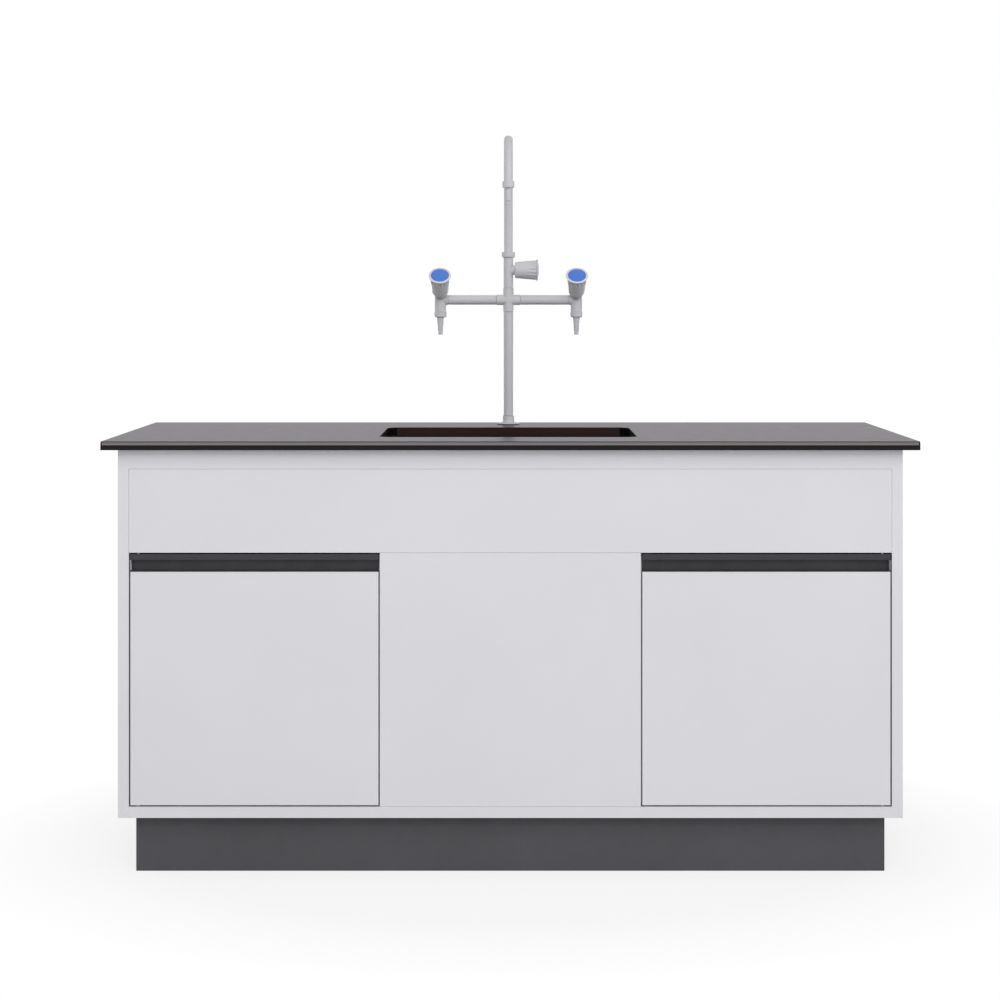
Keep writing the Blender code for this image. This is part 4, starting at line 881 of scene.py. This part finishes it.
def worktop_section(inset):
    """Section of the worktop as (y, z) points, with a drip groove behind the front edge."""
    low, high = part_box("worktop")
    front = low.y + inset
    back = high.y - inset
    bottom = low.z + inset
    top = high.z - inset
    groove_front = low.y + GROOVE_INSET - inset
    groove_back = low.y + GROOVE_INSET + GROOVE_WIDTH + inset
    groove_top = bottom + GROOVE_DEPTH
    section = (
        (front, bottom, WORKTOP_EASE - inset),
        (groove_front, bottom),
        (groove_front, groove_top),
        (groove_back, groove_top),
        (groove_back, bottom),
        (back, bottom, WORKTOP_EASE - inset),
        (back, top, WORKTOP_EASE - inset),
        (front, top, WORKTOP_ARRIS - inset),
    )
    return rounded(section)


def bowl_plan(grow, height):
    """Outline of the bowl's mouth at one height, grown outwards."""
    low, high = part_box("sink_bowl")
    half = (high - low) / 2
    radius = max(SINK_CORNER + SINK_LEDGE + grow, TINY)
    return plan(half.x - SINK_RIM + grow, half.y - SINK_RIM + grow, radius, height, middle("sink_bowl"))


def drain_ring(radius, height):
    """Circle round the drain with as many points as an outline of the bowl."""
    centre = middle("sink_bowl")
    count = 4 * (CORNER_STEPS + 1)
    points = []
    for number in range(count):
        x, y, _ = polar(radius, math.tau * (number + 0.5) / count, height)
        points.append((centre.x + x, centre.y + y, height))
    return points


def build_sink():
    """Moulded bowl with drafted walls and a floor that falls to the drain."""
    low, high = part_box("sink_bowl")
    floor = low.z + SINK_WALL + SINK_FALL
    rim_low = high.z - SINK_RIM_THICKNESS
    floor_edge = -SINK_DRAFT - SINK_FLOOR_ROUND
    inside = (
        (SINK_RIM / 2, high.z),
        (0.0, high.z, SINK_LIP),
        (-SINK_DRAFT, floor, SINK_FLOOR_ROUND),
        (floor_edge, floor),
    )
    outside = (
        (floor_edge, floor - SINK_WALL),
        (SINK_WALL - SINK_DRAFT, floor - SINK_WALL, SINK_FLOOR_ROUND + SINK_WALL),
        (SINK_WALL, rim_low, SINK_LIP),
        (SINK_RIM, rim_low, SINK_LIP),
        (SINK_RIM, high.z, SINK_LIP),
        (SINK_RIM / 2 + SINK_LIP, high.z),
    )
    seat_z = floor - SINK_FALL
    seat = drain_ring(WASTE_RIM, seat_z)
    loops = [bowl_plan(grow, height) for grow, height in rounded(inside, closed=False)]
    edge = loops[-1]
    for step in range(1, FALL_STEPS):
        share = step / FALL_STEPS
        loops.append([Vector(start).lerp(Vector(end), share) for start, end in zip(edge, seat)])
    loops.append(seat)
    drain = ((DRAIN_RADIUS, seat_z), (DRAIN_RADIUS, low.z), (WASTE_RIM, low.z))
    loops += [drain_ring(radius, height) for radius, height in drain]
    loops += [bowl_plan(grow, height) for grow, height in rounded(outside, closed=False)]
    show(loft(loops, ring=True), "sink_bowl")


def build_waste():
    """Waste fitting with a seat for the strainer, and the strainer."""
    low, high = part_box("waste_fitting")
    plate_low, knob_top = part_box("sink_strainer")
    place = floor_point("waste_fitting")
    radius = half_width("sink_strainer")
    recess = radius + CLEARANCE
    seat = plate_low.z - CLEARANCE
    rim_low = high.z - WASTE_RIM_HEIGHT
    fitting = (
        (WASTE_BORE, low.z),
        (WASTE_TUBE, low.z, EDGE),
        (WASTE_TUBE, rim_low, EDGE),
        (WASTE_RIM, rim_low, EDGE),
        (recess, high.z, EDGE),
        (recess, seat),
        (WASTE_BORE, seat, EDGE),
    )
    show(lathe(fitting, place, ring=True), "waste_fitting")

    plate = plate_low.z + STRAINER_PLATE
    knob_low = knob_top.z - STRAINER_KNOB_HEIGHT
    strainer = stepped(
        0.0,
        (radius, plate_low.z, plate, EDGE, EDGE),
        (STRAINER_STEM, plate, knob_low, EDGE, EDGE),
        (STRAINER_KNOB, knob_low + STRAINER_KNOB / 3, knob_top.z, EDGE, STRAINER_KNOB / 2),
    )
    holes = []
    for number in range(STRAINER_HOLES):
        angle = math.tau * (number + 0.5) / STRAINER_HOLES
        arm = Vector((math.cos(angle), math.sin(angle), 0.0)) * (STRAINER_STEM + WASTE_BORE) / 2
        holes.append(rod(STRAINER_HOLE, plate_low.z - PAST, plate + PAST, place + arm, segments=SMALL_ROUND))
    show(carve(lathe(strainer, place), holes), "sink_strainer")


def build_trap():
    """Bottle trap with its outlet pipe, and the ribbed nut that holds it on the waste."""
    low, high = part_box("bottle_trap")
    place = floor_point("waste_fitting")
    cup = half_width("bottle_trap")
    cup_top = low.z + TRAP_CUP_HEIGHT
    seam = low.z + TRAP_SEAM
    inside = cup - TRAP_WALL
    trap = (
        (0.0, low.z),
        (cup, low.z, TRAP_CUP_ROUND),
        (cup, seam - TRAP_GROOVE),
        (cup - TRAP_GROOVE, seam),
        (cup, seam + TRAP_GROOVE),
        (cup, cup_top, TRAP_WALL),
        (TRAP_NECK_RADIUS, cup_top + TRAP_WALL, TRAP_WALL),
        (TRAP_NECK_RADIUS, high.z),
        (DRAIN_RADIUS, high.z),
        (DRAIN_RADIUS, cup_top),
        (inside, cup_top - TRAP_WALL),
        (inside, low.z + TRAP_WALL),
        (0.0, low.z + TRAP_WALL),
    )
    start = (place.x, place.y, cup_top - PIPE_DROP)
    reach = high.y - place.y
    pipe = rod(PIPE_RADIUS, cup - TRAP_WALL / 2, reach, start, ALONG_Y)
    bore = rod(PIPE_RADIUS - TRAP_WALL, cup / 2, reach + PAST, start, ALONG_Y)
    show(carve(carve(lathe(trap, place), [pipe], "UNION"), [bore]), "bottle_trap")

    neck = TRAP_NECK_RADIUS + CLEARANCE / 2
    nut = stepped(neck, (TRAP_NUT_RADIUS, high.z - TRAP_NUT_HEIGHT, high.z, EDGE, EDGE))
    loops = []
    for radius, height in rounded(nut):
        depth = 0.0 if radius < TRAP_NUT_RADIUS - 2 * TRAP_NUT_RIB else TRAP_NUT_RIB
        loops.append(waved(radius, height, TRAP_NUT_RIBS, depth, depth))
    ribbed = loft(loops, ring=True, matrix=Matrix.Translation(place))
    show(ribbed, "bottle_trap", "trap_nut", "grey_waste_plastic")


def waved(radius, height, waves, depth, start, width=1.0):
    """Loop about Z with hollows; each is as deep as its start, and its sides rise by the wave's depth."""
    count = waves * WAVE_POINTS
    points = []
    for number in range(count):
        angle = math.tau * number / count
        rise = depth * width * (1.0 - math.cos(waves * angle)) / 2
        points.append(polar(radius - max(0.0, start - rise), angle, height))
    return points


# Tap

def tap_foot():
    """Point of the tap's axis at the floor."""
    return floor_point("tap_column")


def build_tap_stand():
    """Base with its threaded shank and locknut, column, cross and arms."""
    foot = tap_foot()
    low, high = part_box("tap_base")
    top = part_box("worktop")[1].z
    flange = half_width("tap_base")
    collar_top = top + COLLAR_TOP
    base_low = top + SEAL_HEIGHT
    # the black seal ring under the flange is also painted shade: it makes the dark line under the flange
    seal = stepped(SHANK_RADIUS, (flange - SEAL_INSET, top, base_low))
    show(lathe(seal, foot, ring=True), "tap_base", "tap_seal_shade_line", "black_rubber")
    base = stepped(
        SHANK_BORE,
        (flange, base_low, top + FLANGE_EDGE, EDGE, EDGE),
        (COLLAR_RADIUS, top + FLANGE_TOP, collar_top, EDGE, EDGE),
        (SPIGOT_RADIUS, collar_top, high.z),
    )
    show(lathe(base, foot, ring=True), "tap_base")
    show(thread(SHANK_RADIUS, low.z, top, foot), "tap_base", "tap_shank", "zinc_plated_steel")
    build_locknut(foot)

    low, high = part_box("tap_column")
    show(sleeve(TUBE_BORE, TUBE_RADIUS, low.z, high.z, foot), "tap_column")
    centre = middle("tap_cross")
    end = half_width("tap_cross")
    reach = end - SPIGOT_LENGTH
    stem = stepped(
        0.0,
        (SPIGOT_RADIUS, -end, -reach),
        (CROSS_RADIUS, -reach, reach, JOINT, JOINT),
        (SPIGOT_RADIUS, reach, end),
    )
    show(carve(lathe(stem, centre), [lathe(stem, centre, ALONG_X)], "UNION"), "tap_cross")
    for name, _ in SIDES:
        node = f"tap_arm_{name}"
        half = half_width(node)
        show(sleeve(TUBE_BORE, TUBE_RADIUS, -half, half, middle(node), ALONG_X), node)


def build_locknut(foot):
    """Hexagon nut with chamfered corners."""
    low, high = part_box("tap_locknut")
    flat = (high.y - low.y) / 2
    corner = flat / math.cos(math.pi / 6)
    prism = loft([circle(corner, height, 6) for height in (low.z, high.z)], matrix=Matrix.Translation(foot))
    chamfer = (
        (0.0, low.z),
        (flat, low.z),
        (corner, low.z + NUT_CHAMFER),
        (corner, high.z - NUT_CHAMFER),
        (flat, high.z),
        (0.0, high.z),
    )
    nut = carve(prism, [lathe(chamfer, foot)], "INTERSECT")
    bore = rod(SHANK_RADIUS + CLEARANCE, low.z - PAST, high.z + PAST, foot)
    show(carve(nut, [bore]), "tap_locknut")


def bonnet(points, end_radius, knob_start):
    """Profile of a bonnet that ends just before its knob, with the spindle that carries the knob."""
    end = knob_start - BONNET_GAP
    spindle = knob_start + SPINDLE_LENGTH
    return (
        (0.0, 0.0),
        *points,
        (end_radius, end, EDGE / 2),
        (SPINDLE_RADIUS, end),
        (SPINDLE_RADIUS, spindle),
        (0.0, spindle),
    )


def build_side_valve(name, sign):
    """Valve body at the end of an arm with its bonnet, hose nozzle and knob."""
    centre = Vector((middle(f"hose_nozzle_{name}").x, tap_foot().y, middle("tap_cross").z))
    body = stepped(0.0, (VALVE_RADIUS, -VALVE_DROP, VALVE_CROWN, EDGE, VALVE_CROWN_ROUND))
    boss = stepped(
        0.0,
        (CROSS_RADIUS, 0.0, VALVE_BOSS_REACH, 0.0, EDGE),
        (SPIGOT_RADIUS, VALVE_BOSS_REACH, VALVE_BOSS_REACH + SPIGOT_LENGTH),
    )
    inward = Matrix.Rotation(-sign * math.pi / 2, 4, "Y")
    neck = lathe(bonnet(SIDE_BONNET, SIDE_BONNET_END, SIDE_KNOB_START), centre, KNOB_TILT)
    valve = carve(lathe(body, centre), [lathe(boss, centre, inward), neck], "UNION")
    foot = centre - Vector((0.0, 0.0, VALVE_DROP))
    socket = rod(HOSE_SPIGOT + CLEARANCE, -PAST, SPIGOT_LENGTH + CLEARANCE, foot)
    show(carve(valve, [socket]), f"valve_{name}")

    node = f"hose_nozzle_{name}"
    low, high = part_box(node)
    nozzle = hose_nozzle(high.z - SPIGOT_LENGTH, low.z, half_width(node))
    show(lathe(nozzle, (*foot[:2], 0.0), ring=True), node)
    build_knob(name, Matrix.Translation(centre) @ KNOB_TILT, SIDE_KNOB_START)


def hose_nozzle(top, tip, collar):
    """Profile of a spigot, a collar with a fine groove, and a barbed tail."""
    groove = top - HOSE_GROOVE_DROP
    root = top - HOSE_COLLAR_HEIGHT
    profile = [
        (HOSE_BORE, top + SPIGOT_LENGTH),
        (HOSE_SPIGOT, top + SPIGOT_LENGTH),
        (HOSE_SPIGOT, top),
        (collar, top, EDGE),
        (collar, groove + HOSE_GROOVE),
        (collar - HOSE_GROOVE, groove),
        (collar, groove - HOSE_GROOVE),
        (collar, root, HOSE_COLLAR_ROUND),
    ]
    pitch = (root - tip) / HOSE_BARBS
    taper = (HOSE_ROOT - HOSE_TIP) / HOSE_BARBS
    for number in range(HOSE_BARBS):
        radius = HOSE_ROOT - number * taper
        height = root - number * pitch
        profile.append((radius - HOSE_BARB, height))
        profile.append((radius, height - HOSE_BARB))
    profile.append((HOSE_TIP, tip, EDGE))
    profile.append((HOSE_BORE, tip))
    return profile


def build_upper_valve():
    """Valve body on the cross, its bonnet and knob to the right, and the nut under the spout."""
    foot = tap_foot()
    low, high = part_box("valve_top")
    axis = Vector((foot.x, foot.y, middle("knob_top").z))
    neck = lathe(bonnet(TOP_BONNET, TOP_BONNET_END, TOP_KNOB_START), axis, ALONG_X)
    valve = carve(rod(TUBE_RADIUS, low.z, high.z, foot), [neck], "UNION")
    socket = rod(TUBE_BORE, low.z - PAST, low.z + SPIGOT_LENGTH, foot)
    show(carve(valve, [socket]), "valve_top")
    build_knob("top", Matrix.Translation(axis) @ ALONG_X, TOP_KNOB_START)

    valve_top = high.z + CLEARANCE
    low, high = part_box("swivel_nut")
    radius = half_width("swivel_nut")
    nut = (
        (TUBE_RADIUS + CLEARANCE, low.z),
        (radius - SWIVEL_CHAMFER, low.z),
        (radius, low.z + SWIVEL_CHAMFER, EDGE),
        (radius, high.z, EDGE),
        (SPOUT_RADIUS + CLEARANCE, high.z),
        (SPOUT_RADIUS + CLEARANCE, valve_top),
        (TUBE_RADIUS + CLEARANCE, valve_top),
    )
    show(lathe(nut, foot, ring=True), "swivel_nut")


def build_spout():
    """Gooseneck tube with a collar and a thin nozzle at its end."""
    foot = tap_foot()
    low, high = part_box("gooseneck")
    nozzle_low, nozzle_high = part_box("spout_nozzle")
    end = middle("spout_nozzle")
    bend = (foot.y - end.y) / 2
    centre = Vector((foot.x, foot.y - bend, high.z - SPOUT_RADIUS - bend))
    socket = nozzle_high.z - SPOUT_SOCKET
    path = [(Vector((foot.x, foot.y, low.z)), 0.0)]
    for step in range(BEND_STEPS + 1):
        angle = math.pi * step / BEND_STEPS
        path.append((centre + bend * Vector((0.0, math.cos(angle), math.sin(angle))), angle))
    path.append((Vector((foot.x, end.y, socket + CLEARANCE)), math.pi))
    outside = tube_loops(path, SPOUT_RADIUS)
    inside = tube_loops(path, SPOUT_RADIUS - SPOUT_WALL)
    show(loft(outside + inside[::-1], ring=True), "gooseneck")

    collar = half_width("spout_nozzle")
    collar_low = nozzle_high.z - SPOUT_COLLAR_HEIGHT
    tip_high = nozzle_low.z + SPOUT_TIP_LENGTH
    nozzle = (
        (SPOUT_RADIUS + CLEARANCE, nozzle_high.z),
        (collar, nozzle_high.z, EDGE / 2),
        (collar, collar_low, SPOUT_COLLAR_ROUND),
        (SPOUT_NOZZLE, collar_low, EDGE),
        (SPOUT_NOZZLE, tip_high, EDGE),
        (SPOUT_TIP, tip_high, EDGE),
        (SPOUT_TIP, nozzle_low.z, SPOUT_TIP_ROUND),
        (HOSE_BORE, nozzle_low.z),
        (HOSE_BORE, socket),
        (SPOUT_RADIUS + CLEARANCE, socket),
    )
    show(lathe(nozzle, (*end[:2], 0.0), ring=True), "spout_nozzle")


def tube_loops(path, radius):
    """Circles of one radius along a path of points and turns from the upright, in a plane across X."""
    loops = []
    for point, angle in path:
        outward = Vector((0.0, math.cos(angle), math.sin(angle)))
        loop = []
        for number in range(ROUND):
            turn = math.tau * number / ROUND
            loop.append(point + radius * (Vector((math.cos(turn), 0.0, 0.0)) + math.sin(turn) * outward))
        loops.append(loop)
    return loops


def build_knob(name, matrix, start):
    """Fluted knob with a domed cap and a painted highlight on its rim, along the Z axis of a matrix and a
    start distance away.
    """
    matrix = matrix @ Matrix.Translation((0.0, 0.0, start))
    rim_low = KNOB_LENGTH - KNOB_RIM_HEIGHT
    flute_low = rim_low - FLUTE_LENGTH
    slope = (KNOB_LARGE - KNOB_SMALL) / rim_low
    bore = SPINDLE_RADIUS + CLEARANCE
    recess = CAP_RADIUS + CLEARANCE
    recess_high = KNOB_LENGTH + KNOB_RIM_RISE
    recess_low = recess_high - CAP_DEPTH
    heel = (
        (bore, SPINDLE_LENGTH + CLEARANCE),
        (bore, 0.0),
        (KNOB_SMALL, 0.0, KNOB_HEEL),
        (KNOB_SMALL + slope * flute_low, flute_low),
    )
    rim = (
        (KNOB_LARGE, rim_low),
        (KNOB_RIM, KNOB_LENGTH - KNOB_RIM_ROUND),
        (KNOB_RIM, KNOB_LENGTH, KNOB_RIM_ROUND / 2),
        (recess, recess_high, EDGE / 2),
        (recess, recess_low),
    )
    points = KNOB_FLUTES * WAVE_POINTS
    loops = [[(0.0, 0.0, SPINDLE_LENGTH + CLEARANCE)]]
    loops += [circle(radius, height, points) for radius, height in rounded(heel, closed=False)]
    for step in range(1, FLUTE_STEPS + 1):
        share = step / FLUTE_STEPS
        height = flute_low + FLUTE_LENGTH * share
        depth = FLUTE_DEPTH * min(1.0, share / FLUTE_RUN)
        radius = KNOB_SMALL + slope * height
        loops.append(waved(radius, height, KNOB_FLUTES, FLUTE_DEPTH, depth, FLUTE_WIDTH))
    loops += [circle(radius, height, points) for radius, height in rounded(rim, closed=False)[1:]]
    loops.append([(0.0, 0.0, recess_low)])
    knob = loft(loops)
    # faces on top of the rim take the second look, a lighter colour that paints the highlight on the ring
    for face in knob.faces:
        face.material_index = int(face.calc_center_median().z > KNOB_LENGTH - KNOB_RIM_ROUND)
    bmesh.ops.transform(knob, matrix=matrix, verts=knob.verts[:])
    show(knob, f"knob_{name}", looks=(SLOT[f"knob_{name}"], "knob_ring_painted_highlight"))

    cap = (
        (0.0, recess_low + CLEARANCE),
        (CAP_RADIUS, recess_low + CLEARANCE),
        (CAP_RADIUS, recess_high, EDGE / 2),
        (CAP_CROWN, recess_high + CAP_DOME, CAP_CROWN_ROUND),
        (0.0, recess_high + CAP_DOME),
    )
    show(lathe(cap, (0.0, 0.0, 0.0), matrix), f"knob_cap_{name}")


# Stage

def computed(tree, operation, first, second):
    """Combine two values by a mathematical operation."""
    node = tree.nodes.new("ShaderNodeMath")
    node.operation = operation
    feed(tree, node, {0: first, 1: second})
    return node.outputs["Value"]


def light_path(tree):
    """Factor that is one for rays that show the background: seen, mirrored or through glass."""
    rays = tree.nodes.new("ShaderNodeLightPath").outputs
    seen = computed(tree, "MAXIMUM", rays["Is Camera Ray"], rays["Is Glossy Ray"])
    return computed(tree, "MAXIMUM", seen, rays["Is Transmission Ray"])


def build_world():
    """White background with a softer light of its own on the bench."""
    world = bpy.data.worlds.new("studio")
    world.use_nodes = True
    tree = world.node_tree
    mirrored = tree.nodes.new("ShaderNodeLightPath").outputs["Is Glossy Ray"]
    feed(tree, tree.nodes["Background"], {
        "Color": mixed(tree, mirrored, (1.0, 1.0, 1.0), STUDIO_TINT),
        "Strength": ranged(tree, light_path(tree), AMBIENT, 1.0, (0.0, 1.0)),
    })
    bpy.context.scene.world = world


def build_floor():
    """Pale floor that keeps the bench's shadow and fades into the white background."""
    bm = bmesh.new()
    bmesh.ops.create_grid(bm, x_segments=1, y_segments=1, size=FLOOR_SIZE / 2)
    floor = loose_object("floor", bm)
    material = bpy.data.materials.new("pale_floor")
    material.use_nodes = True
    tree = material.node_tree
    tree.nodes.remove(tree.nodes["Principled BSDF"])
    matt = tree.nodes.new("ShaderNodeBsdfDiffuse")
    feed(tree, matt, {"Color": (FLOOR_COLOUR, FLOOR_COLOUR, FLOOR_COLOUR, 1.0)})
    white = tree.nodes.new("ShaderNodeEmission")
    distance = tree.nodes.new("ShaderNodeVectorMath")
    distance.operation = "LENGTH"
    feed(tree, distance, {0: tree.nodes.new("ShaderNodeNewGeometry").outputs["Position"]})
    fade = ranged(tree, distance.outputs["Value"], 1.0 - FLOOR_SHADE, 1.0, FLOOR_FADE)
    share = computed(tree, "MULTIPLY", light_path(tree), fade)
    mix = tree.nodes.new("ShaderNodeMixShader")
    feed(tree, mix, {"Fac": share, 1: matt.outputs["BSDF"], 2: white.outputs["Emission"]})
    feed(tree, tree.nodes["Material Output"], {"Surface": mix.outputs["Shader"]})
    floor.data.materials.append(material)


def build_lamp(name, place, size, power):
    """Rectangular soft box that looks at the bench."""
    lamp = bpy.data.lights.new(name, "AREA")
    lamp.shape = "RECTANGLE"
    lamp.size, lamp.size_y = size
    lamp.energy = power
    item = bpy.data.objects.new(name, lamp)
    item.location = place
    item.rotation_euler = (Vector(AIM) - Vector(place)).to_track_quat("-Z", "Y").to_euler()
    bpy.context.scene.collection.objects.link(item)


def build_camera():
    """Level camera in front of the bench, with the view shifted as in the photograph."""
    camera = bpy.data.cameras.new("camera")
    camera.lens = CAMERA_LENS
    camera.sensor_width = CAMERA_SENSOR
    camera.shift_x, camera.shift_y = CAMERA_SHIFT
    item = bpy.data.objects.new("camera", camera)
    item.location = CAMERA_PLACE
    item.rotation_euler = (math.pi / 2, 0.0, 0.0)
    bpy.context.scene.collection.objects.link(item)
    bpy.context.scene.camera = item


def dress_solids():
    """Give every solid of the frame the finish of its slot."""
    for node, item in frame["nodes"].items():
        for slot in item.material_slots:
            slot.material = FINISH[SLOT[node]]


dress_solids()
build_front_frame()
build_panels()
for side_name, side_sign in SIDES:
    build_door(side_name, side_sign)
    build_pivots(side_name)
    build_side_valve(side_name, side_sign)
build_plinth()
build_feet()
build_worktop()
build_sink()
build_waste()
build_trap()
build_tap_stand()
build_upper_valve()
build_spout()
build_world()
build_floor()
for lamp in LAMPS:
    build_lamp(*lamp)
build_camera()
bpy.context.scene.view_settings.view_transform = "Standard"
